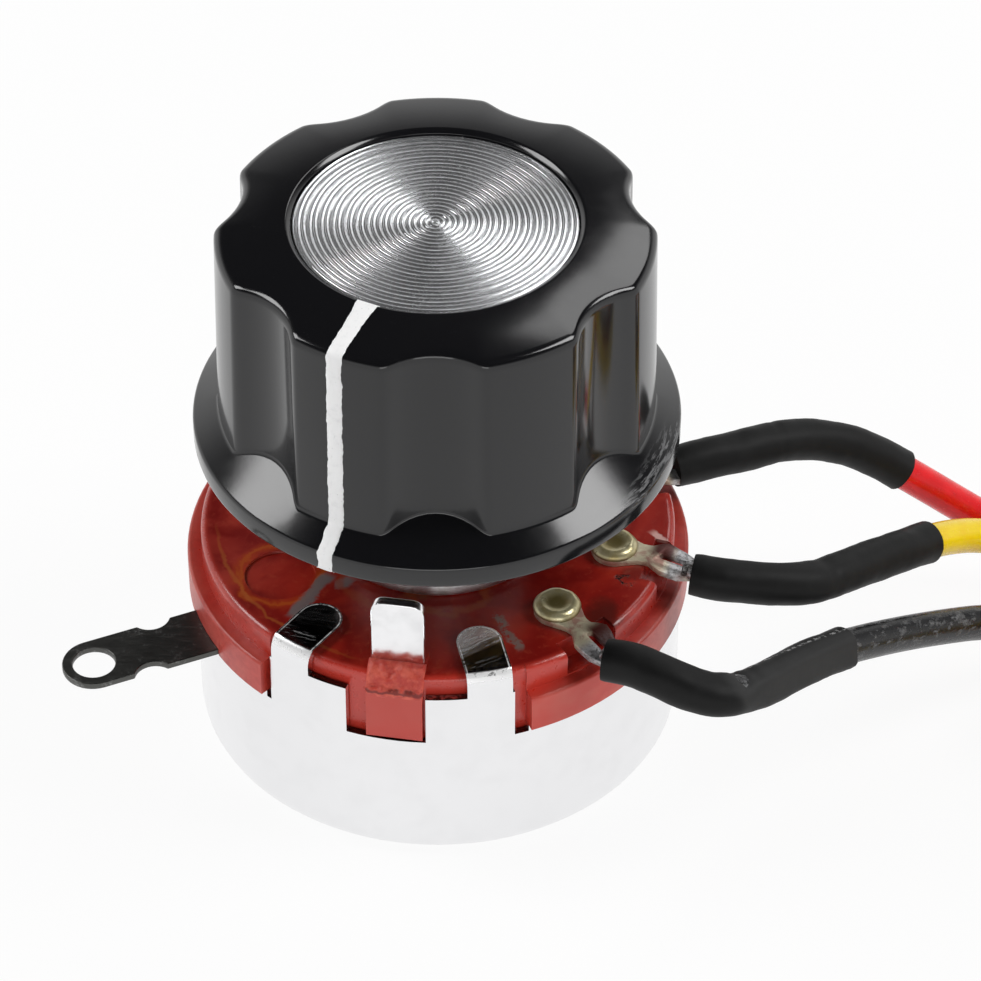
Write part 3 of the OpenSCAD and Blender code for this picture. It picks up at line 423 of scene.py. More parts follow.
def bright_nickel(name="bright_nickel", colour=(0.86, 0.86, 0.87), roughness=0.13, stained=0.9,
                  edge_sheen_above=100.0, fingers=()):
    """Drawn sheet, bright but not mirror smooth. Above a height its rounded edges, the fold included, are painted
    a pale satin: a painted highlight.

    The can's sheared edges are painted dark, a painted reflection, and its fingers have a painted highlight round
    their tips, brushing marks on their tops and painted shade on the tops' outer parts.
    """
    f = Finish(name, colour, metallic=1.0)
    haze = f.noise(0.5, 3.0, 0.6)
    drawn = f.noise(1.0, 3.0, 0.6, at=f.stretched(0.8, 0.8, 7.0))
    up = f.add("SeparateXYZ", {0: f.add("TexCoord", {}, "Normal")}, 2)
    # Painted highlight: rounded edges above a height, the fold included, are painted a pale satin.
    rubbing_and_sheen = up.rise(0.25, 0.5) * up.fall(0.86, 0.96) * f.z.rise(edge_sheen_above, edge_sheen_above + 0.2)
    rubbing_and_sheen = rubbing_and_sheen * f.noise(3.0, 3.0, 0.7).rise(0.25, 0.48)
    base = f.mix(haze.rise(0.4, 0.75) * 0.5, colour, tuple(c * stained for c in colour))
    matt = roughness + haze * 0.08 + drawn.rise(0.5, 0.8) * 0.06
    if fingers:
        # Painted reflection: the sheared edges low on the can are painted near black.
        edge_reflection = up.rise(0.5, 0.7) * f.z.fall(12.1, 12.4)
        edge_reflection = edge_reflection * f.noise(2.0, 3.0, 0.7).rise(0.34, 0.46, 0.5, 1.0)
        base = f.mix(edge_reflection * 0.95, base, (0.03, 0.03, 0.03))
    for bearing, brushing_and_shade in fingers:
        along, across = f.turn(bearing)
        back = (along - FINGER_TIP).smaller(0.0)
        out = (back * back + across * across) ** 0.5
        top = out.fall(1.3, 1.35) * f.z.rise(13.0, 13.1) * along.rise(5.0, 9.0)
        # Painted highlight: a pale ring round each finger's tip.
        sheen_rim = top * out.rise(1.1, 1.13) * out.fall(1.17, 1.2) * across.rise(-1.1, -0.6, 0.55, 1.0)
        sheen_rim = sheen_rim * f.noise(2.6, 3.0, 0.7, 0.0).rise(0.4, 0.5, 0.25, 1.0)
        slanted = along + across * 0.372
        strokes = f.noise(1.0, 4.0, 0.7, at=f.point((across - along * 0.372) * 0.9, slanted * 7.0, f.z))
        pale = (slanted + (strokes - 0.5) * 0.5).fall(11.42, 11.55) * top
        fold = along.rise(12.0, 12.35) * along.fall(12.7, 12.85) * top
        rubbing_and_sheen = (rubbing_and_sheen + sheen_rim + pale * strokes.rise(0.44, 0.62) * brushing_and_shade
                  + fold * strokes.rise(0.55, 0.6) * 0.3).clipped()
        # Painted shade: the outer part of each finger's top is painted dark, as deep as the second number in
        # FINGERS sets.
        unlit = top * slanted.rise(11.45, 11.6) * along.fall(12.5, 12.75)
        base = f.mix(unlit * brushing_and_shade * 1.9, base, (0.12, 0.12, 0.12))
        matt = matt - top * roughness * 0.5
    f.set(Base_Color=f.mix(rubbing_and_sheen * 0.9, base, (0.95, 0.95, 0.95)), Metallic=(1.0 - rubbing_and_sheen * 0.85).clipped(),
          Roughness=(matt + rubbing_and_sheen * 0.2).clipped())
    return f.bump(haze * 0.7 + drawn * 0.3, 0.08, 0.1)


def tinned_lug(name, colour, warm):
    """Tinned brass, dull and stained where it was heated, with burnt flux between two of the forks."""
    f = Finish(name, colour, metallic=0.5)
    stain = f.noise(1.1, 4.0, 0.65, 0.5)
    fine = f.noise(4.0, 4.0, 0.7)
    pits = f.cells(5.0).fall(0.05, 0.2)
    tip = f.radius().rise(13.0, 13.7)
    body = f.mix(stain.rise(0.4, 0.62), colour, warm)
    for bearing, low, high in ((TERMINALS[0], 11.9, 12.9), (TERMINALS[1], 11.8, 12.6)):
        along, across = f.turn(bearing)
        beside = (across + (stain - 0.5) * 0.8).rise(-0.3, 0.25)
        burnt = along.rise(low, high) * beside * along.rise(5.0, 9.0)
        if bearing == TERMINALS[1]:
            burnt = burnt * along.fall(13.3, 13.8)
        body = f.mix(burnt * across.size().fall(1.6, 1.9), body, (0.075, 0.014, 0.01))
        tip = tip * (1.0 - burnt * 0.8)
    f.coat(f.mix(tip, body, f.mix(fine.rise(0.4, 0.65), (0.44, 0.44, 0.45), (0.16, 0.155, 0.155))),
           0.26 + stain * 0.22 + pits * 0.15)
    return f.bump(stain * 0.8 + fine * 0.3 + pits * 0.25, 0.5, 0.06)


def grey_solder():
    f = Finish("grey_solder", (0.4, 0.4, 0.41), metallic=0.9)
    crust = f.noise(3.4, 5.0, 0.75)
    f.coat(f.mix(crust.rise(0.42, 0.6), (0.5, 0.5, 0.51), (0.07, 0.065, 0.06)), 0.14 + crust * 0.4)
    return f.bump(f.cells(5.0) * 0.6 + crust, 0.8, 0.09)


def dull_plate():
    f = Finish("dull_dark_plate", (0.1, 0.1, 0.096), metallic=1.0)
    worn = f.noise(1.3, 5.0, 0.7)
    scratch = f.noise(1.4, 3.0, at=f.stretched(0.7, 4.5, 1.0))
    f.coat(f.mix(worn.rise(0.55, 0.8) * 0.7, (0.1, 0.1, 0.095), (0.5, 0.5, 0.5)),
           0.26 + worn * 0.2 + scratch.rise(0.5, 0.75) * 0.15)
    return f.bump(worn * 0.6 + scratch * 0.5, 0.3, 0.05)


def shrink_sleeve():
    """Matt shrink sleeve. The pressed side of the black lead's sleeve is painted grey as a painted sheen, with a
    painted highlight along a crease.
    """
    f = Finish("matt_black_sleeve", (0.004, 0.004, 0.004), 0.42, Specular_IOR_Level=0.24)
    soft = f.noise(0.9, 3.0, 0.55)
    grain = f.noise(14.0, 3.0)
    dust = f.cells(4.0).fall(0.03, 0.07) * soft.rise(0.5, 0.6)
    along, across = f.turn(41.2)
    across = across + 19.96 + (soft - 0.5) * 0.6
    # Painted sheen: the pressed facet of the black lead's sleeve is painted grey.
    pressed = along.rise(2.6, 3.4) * across.fall(0.15, 0.3) * f.y.rise(-14.5, -14.0)
    # Painted highlight: a pale line along the crease.
    crease = along.rise(4.0, 5.5) * (across - 0.22).size().fall(0.05, 0.16)
    crease = crease * f.noise(3.5, 4.0, 0.8).rise(0.5, 0.56)
    base = f.mix(soft.rise(0.4, 0.75) * 0.5 + dust, (0.002, 0.002, 0.002), (0.009, 0.009, 0.009))
    base = f.mix(pressed * 0.8, base, (0.034, 0.034, 0.034))
    f.coat(f.mix(crease * f.y.fall(-6.0, -5.5), base, (0.45, 0.45, 0.45)),
           0.46 + soft * 0.2 + pressed * 0.05)
    return f.bump(soft * 0.8 + grain * 0.1 + crease * 0.3, 0.3, 0.08)


def soft_pvc(name, colour, deep, roughness=0.3):
    """Plasticised lead insulation: smooth, with faint drawing lines and handling marks."""
    f = Finish(name, colour, roughness, Specular_IOR_Level=0.4)
    cloud = f.noise(0.7, 3.0, 0.6)
    marks = f.noise(3.5, 4.0, 0.7).rise(0.56, 0.74)
    f.coat(f.mix(cloud.rise(0.35, 0.7) * 0.7 + marks * 0.2, colour, deep),
           roughness - 0.06 + cloud * 0.12 + marks * 0.16)
    return f.bump(cloud * 0.6 + f.noise(12.0, 2.0) * 0.1 + marks * 0.25, 0.2, 0.06)


def scuffed_black_pvc():
    f = Finish("scuffed_black_pvc", (0.01, 0.01, 0.011), Specular_IOR_Level=0.6)
    streak = f.noise(1.0, 4.0, 0.65, at=f.stretched(1.0, 2.0, 4.0))
    chalk = streak.rise(0.5, 0.66) * f.noise(8.0, 4.0, 0.7).rise(0.42, 0.6)
    f.coat(f.mix(chalk * 0.55, (0.008, 0.008, 0.009), (0.26, 0.26, 0.265)), 0.22 + chalk * 0.3 + streak * 0.1)
    return f.bump(streak * 0.6 + chalk * 0.4 + f.noise(7.0, 2.0) * 0.3, 0.4, 0.06)


def bushing_steel():
    f = Finish("plated_bushing", (0.7, 0.7, 0.71), metallic=1.0)
    tone = f.noise(1.2, 4.0, 0.6)
    lathe_marks = (f.z * 60.0 + tone * 3.0).sine()
    f.coat(f.mix(tone.rise(0.4, 0.7), (0.74, 0.74, 0.75), (0.52, 0.51, 0.49)), 0.22 + tone * 0.15)
    return f.bump(lathe_marks * 0.3 + tone * 0.5, 0.25, 0.02)


def turned_brass():
    f = Finish("turned_brass", (0.66, 0.47, 0.18), metallic=1.0)
    tone = f.noise(1.6, 4.0, 0.6)
    f.coat(f.mix(tone.rise(0.4, 0.7), (0.66, 0.47, 0.18), (0.42, 0.29, 0.12)), 0.2 + tone * 0.22)
    return f.bump(tone * 0.6 + (f.radius() * 55.0).sine() * 0.2, 0.3, 0.02)


def olive_rivet():
    """Brass rivets stained olive by flux, darkest in the dish, with painted shade round the foot."""
    f = Finish("stained_rivet", (0.5, 0.46, 0.24), metallic=0.6)
    tone = f.noise(1.1, 4.0, 0.6, 0.4)
    pits = f.cells(6.0).fall(0.05, 0.16)
    dish = 0.0
    for bearing in TERMINALS:
        along, across = f.turn(bearing)
        gap = ((along - RIVETS) * (along - RIVETS) + across * across) ** 0.5
        dish = (gap + (tone - 0.5) * 0.7).fall(0.35, 0.85) + dish
    # Painted shade: the lowest part of each rivet head is painted dark.
    foot = f.z.fall(PLATEAU + 0.42, PLATEAU + 0.62)
    base = f.mix(tone.rise(0.3, 0.75), (0.62, 0.57, 0.36), (0.36, 0.29, 0.12))
    base = f.mix(dish * 0.9, base, (0.17, 0.13, 0.035))
    f.coat(f.mix(foot * 0.8, base, (0.1, 0.07, 0.025)), 0.2 + tone * 0.2)
    return f.bump(tone + pits * 0.3, 0.5, 0.05)


def dark_steel():
    f = Finish("blackened_steel", (0.12, 0.12, 0.125), metallic=1.0)
    tone = f.noise(1.8, 4.0, 0.6)
    f.coat(f.mix(tone.rise(0.4, 0.7), (0.1, 0.1, 0.105), (0.26, 0.26, 0.27)), 0.3 + tone * 0.2)
    return f.bump(tone, 0.3, 0.04)


def layered_board(name, colour, dark):
    f = Finish(name, colour, 0.6)
    fibre = f.noise(1.6, 5.0, 0.7, at=f.stretched(1.0, 3.0, 6.0))
    f.coat(f.mix(fibre.rise(0.35, 0.7), colour, dark), 0.5 + fibre * 0.2)
    return f.bump(fibre, 0.4, 0.06)


def carbon_film():
    f = Finish("carbon_film", (0.02, 0.02, 0.021), 0.5)
    grain = f.noise(8.0, 4.0, 0.6)
    f.coat(f.mix(grain, (0.014, 0.014, 0.015), (0.05, 0.05, 0.052)), 0.4 + grain * 0.2)
    return f.bump(grain, 0.3, 0.03)


def plug_nylon():
    f = Finish("natural_nylon", (0.8, 0.78, 0.71), 0.38)
    cloud = f.noise(0.6, 3.0, 0.6)
    f.coat(f.mix(cloud.rise(0.3, 0.75), (0.82, 0.8, 0.74), (0.76, 0.735, 0.66)), 0.32 + cloud * 0.16)
    return f.bump(cloud * 0.6 + f.noise(14.0, 2.0) * 0.2, 0.2, 0.06)


def shade(mesh, sharp=None):
    """Smooth shading, with the edges kept sharp that are steeper than an angle."""
    mesh.polygons.foreach_set("use_smooth", [True] * len(mesh.polygons))
    if sharp is not None:
        mesh.set_sharp_from_angle(angle=radians(sharp))


def piece_from(name, points, faces, smooth=True, sharp=None):
    """A mesh piece from points in millimetres."""
    mesh = bpy.data.meshes.new(name)
    mesh.from_pydata([tuple(c * MM for c in p) for p in points], [], faces)
    mesh.validate()
    if smooth:
        shade(mesh, sharp)
    return placed(name, mesh)


def banded(rings, sides, first=0, around=False):
    """Faces between rings of points, counted from first. With around, the last ring joins the first."""
    faces = []
    for k in range(rings if around else rings - 1):
        a, b = first + k * sides, first + (k + 1) % rings * sides
        faces += [(a + j, b + j, b + (j + 1) % sides, a + (j + 1) % sides) for j in range(sides)]
    return faces


def disc(sides, first=0):
    return tuple(range(first, first + sides))


def settle(piece, finish, body, *nodes, slot=None):
    piece.data.materials.clear()
    piece.data.materials.append(finish.material)
    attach(piece, body)
    if nodes:
        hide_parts(*nodes)
    return piece


def rounded_path(corners):
    """An outline with rounded corners, from (x, z, radius of the corner, steps round it)."""
    path = []
    for k, (x, z, radius, steps) in enumerate(corners):
        here = Vector((x, z))
        if not radius:
            path.append(here)
            continue
        back, on = Vector(corners[k - 1][:2]) - here, Vector(corners[k + 1][:2]) - here
        reach = min(radius / max(tan(back.angle(on) / 2), 0.05), 0.48 * back.length, 0.48 * on.length)
        start, end = here + back.normalized() * reach, here + on.normalized() * reach
        for j in range(steps + 1):
            t = j / steps
            path.append(start * (1 - t) ** 2 + here * 2 * t * (1 - t) + end * t * t)
    return path


def at_bearing(degrees, out, side=0.0, z=0.0):
    """A place that lies out along a bearing and to its side."""
    c, s = cos(radians(degrees)), sin(radians(degrees))
    return out * c - side * s, out * s + side * c, z


def turned(rows, bearings):
    return [at_bearing(a, p[0], 0.0, p[1]) for a, row in zip(bearings, rows) for p in row]


def revolved(name, path_at, bearings):
    """A closed piece turned about the shaft's axis. path_at gives the outline at a bearing."""
    rows = [path_at(a) for a in bearings]
    points, faces = turned(rows, bearings), []
    count, width = len(rows), len(rows[0])
    for i in range(count):
        a, b = i * width, (i + 1) % count * width
        faces += [(a + k, b + k, b + k + 1, a + k + 1) for k in range(width - 1)]
    for k in (0, width - 1):
        tip = len(points)
        points.append((0.0, 0.0, rows[0][k][1]))
        ring = [(i * width + k, (i + 1) % count * width + k) for i in range(count)]
        faces += [(b, a, tip) if k == 0 else (a, b, tip) for a, b in ring]
    return piece_from(name, points, faces)


def outward(piece):
    mesh = bmesh.new()
    mesh.from_mesh(piece.data)
    bmesh.ops.remove_doubles(mesh, verts=mesh.verts, dist=1e-7)
    bmesh.ops.recalc_face_normals(mesh, faces=mesh.faces)
    mesh.to_mesh(piece.data)
    mesh.free()
    return piece


def applied(piece, sharp=None):
    """The piece with its modifiers made final."""
    bpy.context.view_layer.update()
    seen = piece.evaluated_get(bpy.context.evaluated_depsgraph_get())
    mesh = bpy.data.meshes.new_from_object(seen)
    piece.modifiers.clear()
    piece.data = mesh
    if sharp is not None:
        shade(mesh, sharp)
    return piece


def bevelled(piece, width, segments, angle):
    """The piece with the edges broken that are steeper than an angle."""
    bevel = piece.modifiers.new("edges", "BEVEL")
    bevel.width, bevel.segments = width * MM, segments
    bevel.limit_method, bevel.angle_limit = "ANGLE", radians(angle)
    return applied(piece, sharp=40)


def cut_by(piece, cutters):
    for cutter in cutters:
        knife = piece.modifiers.new("cut", "BOOLEAN")
        knife.operation, knife.solver, knife.object = "DIFFERENCE", "EXACT", cutter
    applied(piece)
    for cutter in cutters:
        bpy.data.objects.remove(cutter)
    return piece


def softened(node, name, width, segments=2, angle=35, moved=None):
    """A CAD node's shape with its sharp edges broken, as a piece of its own. moved gives a point's new place."""
    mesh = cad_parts[node].data.copy()
    edge = bmesh.new()
    edge.from_mesh(mesh)
    bmesh.ops.remove_doubles(edge, verts=edge.verts, dist=1e-6)
    bmesh.ops.dissolve_limit(edge, angle_limit=radians(0.6), verts=edge.verts, edges=edge.edges)
    if moved:
        for vert in edge.verts:
            vert.co = Vector(moved(*(vert.co / MM))) * MM
    edge.to_mesh(mesh)
    edge.free()
    piece = bevelled(placed(name, mesh), width, segments, angle)
    piece.modifiers.new("flat_faces", "WEIGHTED_NORMAL").keep_sharp = True
    return applied(piece)


def fuller_fold(x, y, z):
    """Where a point of the can's fold goes, so that the sheet bends round slowly."""
    r = hypot(x, y)
    if r > 12.999 and z > 12.699:
        z = 12.3 + (z - 12.7) * (1 / 0.6 if hypot(r - 13.0, z - 12.7) > 0.4 else 3.0)
    return x, y, z


def shallow_recess(x, y, z):
    """Where a point of the moulding goes, so that the mark of its ejector is a faint dish."""
    mark = at_bearing(EJECTOR_MARK, MARK_REACH)
    if hypot(x - mark[0], y - mark[1]) < 2.2 and 12.0 < z < PLATEAU:
        z = PLATEAU - (PLATEAU - z) * 0.4
    return x, y, z


def rod(name, start, end, radius, sides=24):
    """A plain bar for cutting round holes."""
    a, b = Vector(start), Vector(end)
    turn = (b - a).to_track_quat("Z", "Y")
    ring = [turn @ Vector((radius * c, radius * s, 0)) for c, s in circle(sides)]
    points = [a + p for p in ring] + [b + p for p in ring]
    faces = [(k, (k + 1) % sides, (k + 1) % sides + sides, k + sides) for k in range(sides)]
    faces += [disc(sides)[::-1], disc(sides, sides)]
    return piece_from(name, points, faces, smooth=False)


def circle(sides):
    """Cosine and sine of each step round a circle."""
    return [(cos(t), sin(t)) for t in (2 * pi * k / sides for k in range(sides))]


def bell(x):
    return exp(-x ** 2)


def share_of(x):
    return min(1.0, max(0.0, x))


def eased(x):
    share = share_of(x)
    return share * share * (3 - 2 * share)


def rough(x, y=0.0, z=0.0):
    """A repeatable unevenness from -1 to 1."""
    return noise.noise(Vector((x + 3.7, y + 1.3, z + 8.1))) * 1.6


def flute_bearing(k):
    return POINTER + (k + 0.5) * 360 / LOBES


def wall_radius(bearing, lobe=LOBE):
    """Radius of the knob's wall at a bearing: a lobe's, or a flute's hollow, with the ridge rounded."""
    share = (bearing - POINTER) * LOBES / 360
    away = radians((share - share // 1 - 0.5) * 360 / LOBES)
    inside = FLUTE_RADIUS ** 2 - (FLUTE_CENTRE * sin(away)) ** 2
    hollow = FLUTE_CENTRE * cos(away) - sqrt(inside) if inside > 0 else lobe + 2.0
    blend = 0.42
    h = share_of(0.5 + 0.5 * (hollow - lobe) / blend)
    return hollow * (1 - h) + lobe * h - blend * h * (1 - h)


def cone_height(radius):
    return KNOB_TOP - BROW * (radius - LIP) / (LOBE - LIP)


def slope_height(radius):
    return KNOB_FOOT + RIM + SLOPE * (SLOPE_START - radius)


def knob_corners(bearing):
    wall, brow = wall_radius(bearing), wall_radius(bearing, LOBE - DRAFT)
    return [
        (SEAT, KNOB_TOP - 0.85, 0, 0),
        (SEAT, KNOB_TOP - 0.2, 0.06, 2),
        (LIP, KNOB_TOP, 0.2, 3),
        (brow, cone_height(brow), 0.62, 7),
        (wall, slope_height(wall), 0.3, 4),
        (FLANGE, KNOB_FOOT + RIM - 0.05, 0.3, 4),
        (FLANGE, KNOB_FOOT, 0.2, 3),
        (8.8, KNOB_FOOT, 0.15, 2),
        (8.8, KNOB_TOP - 3.4, 0.4, 3),
        (5.8, KNOB_TOP - 3.4, 0.4, 3),
        (5.8, KNOB_FOOT + 1.4, 0.15, 2),
        (4.9, KNOB_FOOT + 1.4, 0, 0),
        (4.9, KNOB_TOP - 2.0, 0, 0),
    ]


def knob_bearings():
    """Bearings with close steps over the ridges beside each flute."""
    half = [0, 2.5, 5, 7.3, 9, 10, 10.7, 11.3, 11.8, 12.3, 12.8, 13.3, 13.8, 14.3, 14.9, 15.6, 16.5, 18, 20.5, 23]
    steps = [-a for a in reversed(half[1:])] + half + [180 / LOBES]
    return [flute_bearing(k) + a for k in range(LOBES) for a in steps]


def make_knob():
    knob = outward(revolved("knob_shell", lambda a: rounded_path(knob_corners(a)), knob_bearings()))
    holes = []
    for k in GRUB_FLUTES:
        way = Vector(at_bearing(flute_bearing(k), 1))
        level = Vector((0, 0, KNOB_FOOT + 6.1))
        holes.append(rod("grub_way", way * 3.5 + level, way * 14 + level, 1.6))
    cut_by(knob, holes)
    shade(knob.data, 50)
    settle(knob, moulded_black(), TURNING, "knob_body", slot="knob_plastic")


def pointer_path():
    """The knob's outline over the pointer's lobe, from the inlay to the rim's foot, in short steps."""
    corners = knob_corners(POINTER)[:8]
    corners[-1] = (8.8, KNOB_FOOT, 0, 0)
    outline = rounded_path(corners)[3:]
    line = []
    for a, b in zip(outline, outline[1:]):
        steps = max(1, int((b - a).length / 0.16))
        line += [a + (b - a) * (k / steps) for k in range(steps)]
    return [p for p in line if not (p[1] < KNOB_FOOT + 0.03 and p[0] < 13.1)]


def make_pointer():
    path = pointer_path()
    across = [-1.0, -0.86, -0.5, 0.0, 0.5, 0.86, 1.0]
    lift = [-0.06, 0.018, 0.03, 0.034, 0.03, 0.018, -0.06]
    points, faces, walked = [], [], 0.0
    for k, p in enumerate(path):
        before, after = path[max(0, k - 1)], path[min(len(path) - 1, k + 1)]
        walked += (p - before).length
        heading = (after - before).normalized()
        normal = Vector((-heading[1], heading[0]))
        if normal.dot(Vector((1, 1))) < 0:
            normal = -normal
        edges = []
        for sign in (-1, 1):
            ragged = 0.035 * rough(walked * 1.7, sign * 3.0) + 0.035 * rough(walked * 5.5, sign * 7.0)
            foot = (0.06 if walked > 15.5 else 0.0) * rough(walked * 2.2, sign)
            edges.append((0.58 if sign < 0 else 0.42) + ragged + 0.26 * exp(-walked / 0.9) + foot)
        for share, height in zip(across, lift):
            wide = share * (edges[0] if share < 0 else edges[1])
            height += 0.008 * rough(walked * 3.0, share * 2.0, 4.0) * (abs(share) < 0.9)
            r = p[0] + normal[0] * height
            reach = sqrt(max(r * r - wide * wide, 0.0))
            points.append(at_bearing(POINTER, reach, wide, p[1] + normal[1] * height))
    width = len(across)
    for a in range(0, (len(path) - 1) * width, width):
        faces += [(a + j, a + j + 1, a + width + j + 1, a + width + j) for j in range(width - 1)]
    strip = outward(piece_from("pointer_paint", points, faces))
    settle(strip, filled_white(), TURNING, "pointer_line", slot="line_paint")


def make_inlay():
    """The turned inlay: one spiral groove from the centre out, and a plain bevelled edge."""
    pitch, sides, edge = 0.306, 180, 7.5
    count = int(edge / pitch * 6)
    top = KNOB_TOP - 0.245
    points = [(0.0, 0.0, top)]
    for k in range(1, count + 1):
        r = edge * k / count
        for j, (c, s) in enumerate(circle(sides)):
            crest = 0.5 + 0.5 * sin(2 * pi * r / pitch - 2 * pi * j / sides)
            depth = 0.05 * (1 - crest ** 1.3) * min(1.0, r / 0.5)
            wave = 0.004 * rough(r * 1.3, c * 1.2, s * 1.2)
            points.append((r * c, r * s, top - depth + wave))
    for level in (top - 0.05, top - 0.58):
        points += [(7.55 * c, 7.55 * s, level) for c, s in circle(sides)]
    faces = [(0, 1 + j, 1 + (j + 1) % sides) for j in range(sides)] + banded(count + 2, sides, 1)
    faces.append(disc(sides, 1 + (count + 1) * sides)[::-1])
    inlay = piece_from("turned_inlay", points, faces, sharp=60)
    settle(inlay, turned_aluminium(), TURNING, "knob_disc", slot="inlay")


def make_bushing():
    """Collar and neck, and a cut thread of 0.75 mm pitch that runs out under the top chamfer."""
    pitch, depth, low, high, major = 0.75, 0.42, PLATEAU + 1.4, PLATEAU + 7.4, 4.5

    def path_at(bearing):
        path = [Vector((r, PLATEAU + z)) for r, z in (
            (3.04, -3.4), (5.6, -3.4), (5.6, -2.6), (5.0, -2.6), (5.0, 0), (6.5, 0), (6.6, 0.1), (6.6, 0.65),
            (6.5, 0.82), (6.3, 0.9), (4.35, 0.9), (4.15, 1.05), (4.15, 1.3))]
        steps = 72
        for k in range(steps + 1):
            z = low + (high - low) * k / steps
            turn = z / pitch - bearing / 360
            tooth = abs((turn % 1.0) * 2 - 1)
            cut = depth * share_of((tooth - 0.12) / 0.76)
            fade = min(1.0, (z - low) / 0.5)
            r = major - cut * fade - 0.05 * (1 - fade)
            path.append(Vector((min(r, major - max(0.0, z - high + 0.5) * 0.9), z)))
        path += [Vector((3.3, high)), Vector((3.04, high - 0.2))]
        return path

    bearings = [k * 4.0 for k in range(90)]
    rows = [path_at(a) for a in bearings]
    faces = banded(len(rows), len(rows[0]), around=True)
    thread = outward(piece_from("threaded_bushing", turned(rows, bearings), faces, sharp=38))
    settle(thread, bushing_steel(), STILL, "bushing", slot="bushing_metal")


def make_rivets():
    """Pressed heads, a little dished, and their shanks and spread tails."""
    points, faces = [], []
    sides = 40
    for number, bearing in enumerate(TERMINALS):
        cx, cy = at_bearing(bearing, RIVETS)[:2]
        tail = PLATEAU - (3.2 if number == 1 else 3.5)
        head = PLATEAU + 0.4
        outline = [(r, head + z) for r, z in (
            (0.0, 0.28), (0.35, 0.29), (0.62, 0.34), (0.8, 0.42), (0.92, 0.44), (1.05, 0.4), (1.18, 0.3),
            (1.27, 0.17), (1.31, 0.05), (1.3, 0), (0.8, 0))]
        outline += [(0.8, tail + 0.3), (1.1, tail + 0.3), (1.1, tail), (0.0, tail)]
        base = len(points)
        for k, (r, z) in enumerate(outline):
            for c, s in circle(sides):
                uneven = 1 + 0.03 * rough(c * 1.5, s * 1.5, number * 4.0) * (0 < k < 9)
                dip = 0.03 * rough(c * 2, s * 2, number * 9.0) * (2 < k < 8)
                points.append((cx + r * uneven * c, cy + r * uneven * s, z + dip))
        faces += banded(len(outline), sides, base)
    rivets = outward(piece_from("rolled_rivets", points, faces, sharp=55))
    settle(rivets, olive_rivet(), STILL, "terminal_rivets", slot="brass")


def make_lug(bearing, node, tin):
    """A solder lug: a ring round the rivet, a drawn-in neck and a fork that the sleeve takes."""
    ring, neck, fork = 1.27, 0.66, 1.15
    edge = [(ring * cos(t), ring * sin(t)) for t in (radians(a) for a in range(180, 50, -10))]
    edge += [(1.15, 0.86), (1.5, 0.7), (1.75, neck), (2.05, neck), (2.4, 0.9), (2.8, fork)]
    edge = [(RIVETS + u, v) for u, v in edge]
    edge += [(13.4, 1.12), (14.0, 0.98), (14.6, 0.78), (15.2, 0.6), (15.2, 0.2)]
    slot = [(13.0, 0.2), (12.9, 0.17), (12.84, 0.1), (12.8, 0.0)]
    outline = edge + slot + [(u, -v) for u, v in reversed(slot[:-1])] + [(u, -v) for u, v in reversed(edge[1:])]
    points = []
    for level in (PLATEAU, PLATEAU + 0.4):
        for u, v in outline:
            lift = 0.05 * rough(u * 0.9, v, bearing) * (level > PLATEAU)
            points.append(at_bearing(bearing, u, v, level + lift - 0.4 * eased((u - 12.9) / 1.2)))
    n = len(outline)
    faces = [disc(n)[::-1], disc(n, n)] + [(k, (k + 1) % n, (k + 1) % n + n, k + n) for k in range(n)]
    lug = outward(piece_from(node + "_lug", points, faces))
    settle(bevelled(lug, 0.07, 2, 50), tin, STILL, node, slot="tinned")


def make_broken_post():
    """The post's top where the plate was staked in: torn phenolic between the plate and the front face."""
    line = [(12.2, 13.26), (12.4, 13.27), (12.65, 13.2), (12.9, 13.04), (13.12, 12.8), (13.3, 12.5),
            (13.44, 12.2), (13.52, 11.92), (13.515, 11.55)]
    line = smooth_line([(r, 0.0, z) for r, z in line], 3)
    across, points, faces = 34, [], []
    for k, spot in enumerate(line):
        share = k / (len(line) - 1)
        for j in range(across + 1):
            v = -POST_HALF + 2 * POST_HALF * j / across
            edge = min(1.0, (POST_HALF - abs(v)) / 0.16, share / 0.05, (1 - share) / 0.1)
            lump = 0.11 * rough(v * 1.9, share * 5.0, 2.0) + 0.07 * rough(v * 5.0, share * 13.0, 5.0)
            lump += 0.02 * rough(v * 14.0, share * 34.0, 7.0)
            lump -= 0.16 * bell((share - 0.72 - 0.05 * rough(v * 2.2, 3.0)) / 0.05)
            out = (0.05 + lump) * max(0.0, edge) - 0.1 * (1 - max(0.0, edge))
            points.append(at_bearing(POST, spot.x + out * 0.7, v, spot.z + out * 0.7))
    wide = across + 1
    top = len(points)
    for k in (0, len(line) - 1):
        for j in range(wide):
            x, y, z = points[k * wide + j]
            points.append((x * 0.965, y * 0.965, z - 0.3 if k else z - 0.5))
    rows = [list(range(k * wide, (k + 1) * wide)) for k in range(len(line))]
    rows += [list(range(top + wide, top + 2 * wide)), list(range(top, top + wide))]
    for upper, lower in zip(rows, rows[1:] + rows[:1]):
        faces += [(upper[j], upper[j + 1], lower[j + 1], lower[j]) for j in range(across)]
    faces += [tuple(row[0] for row in rows), tuple(row[-1] for row in reversed(rows))]
    settle(outward(piece_from("torn_post_top", points, faces)), broken_phenolic(), STILL, slot="moulding")


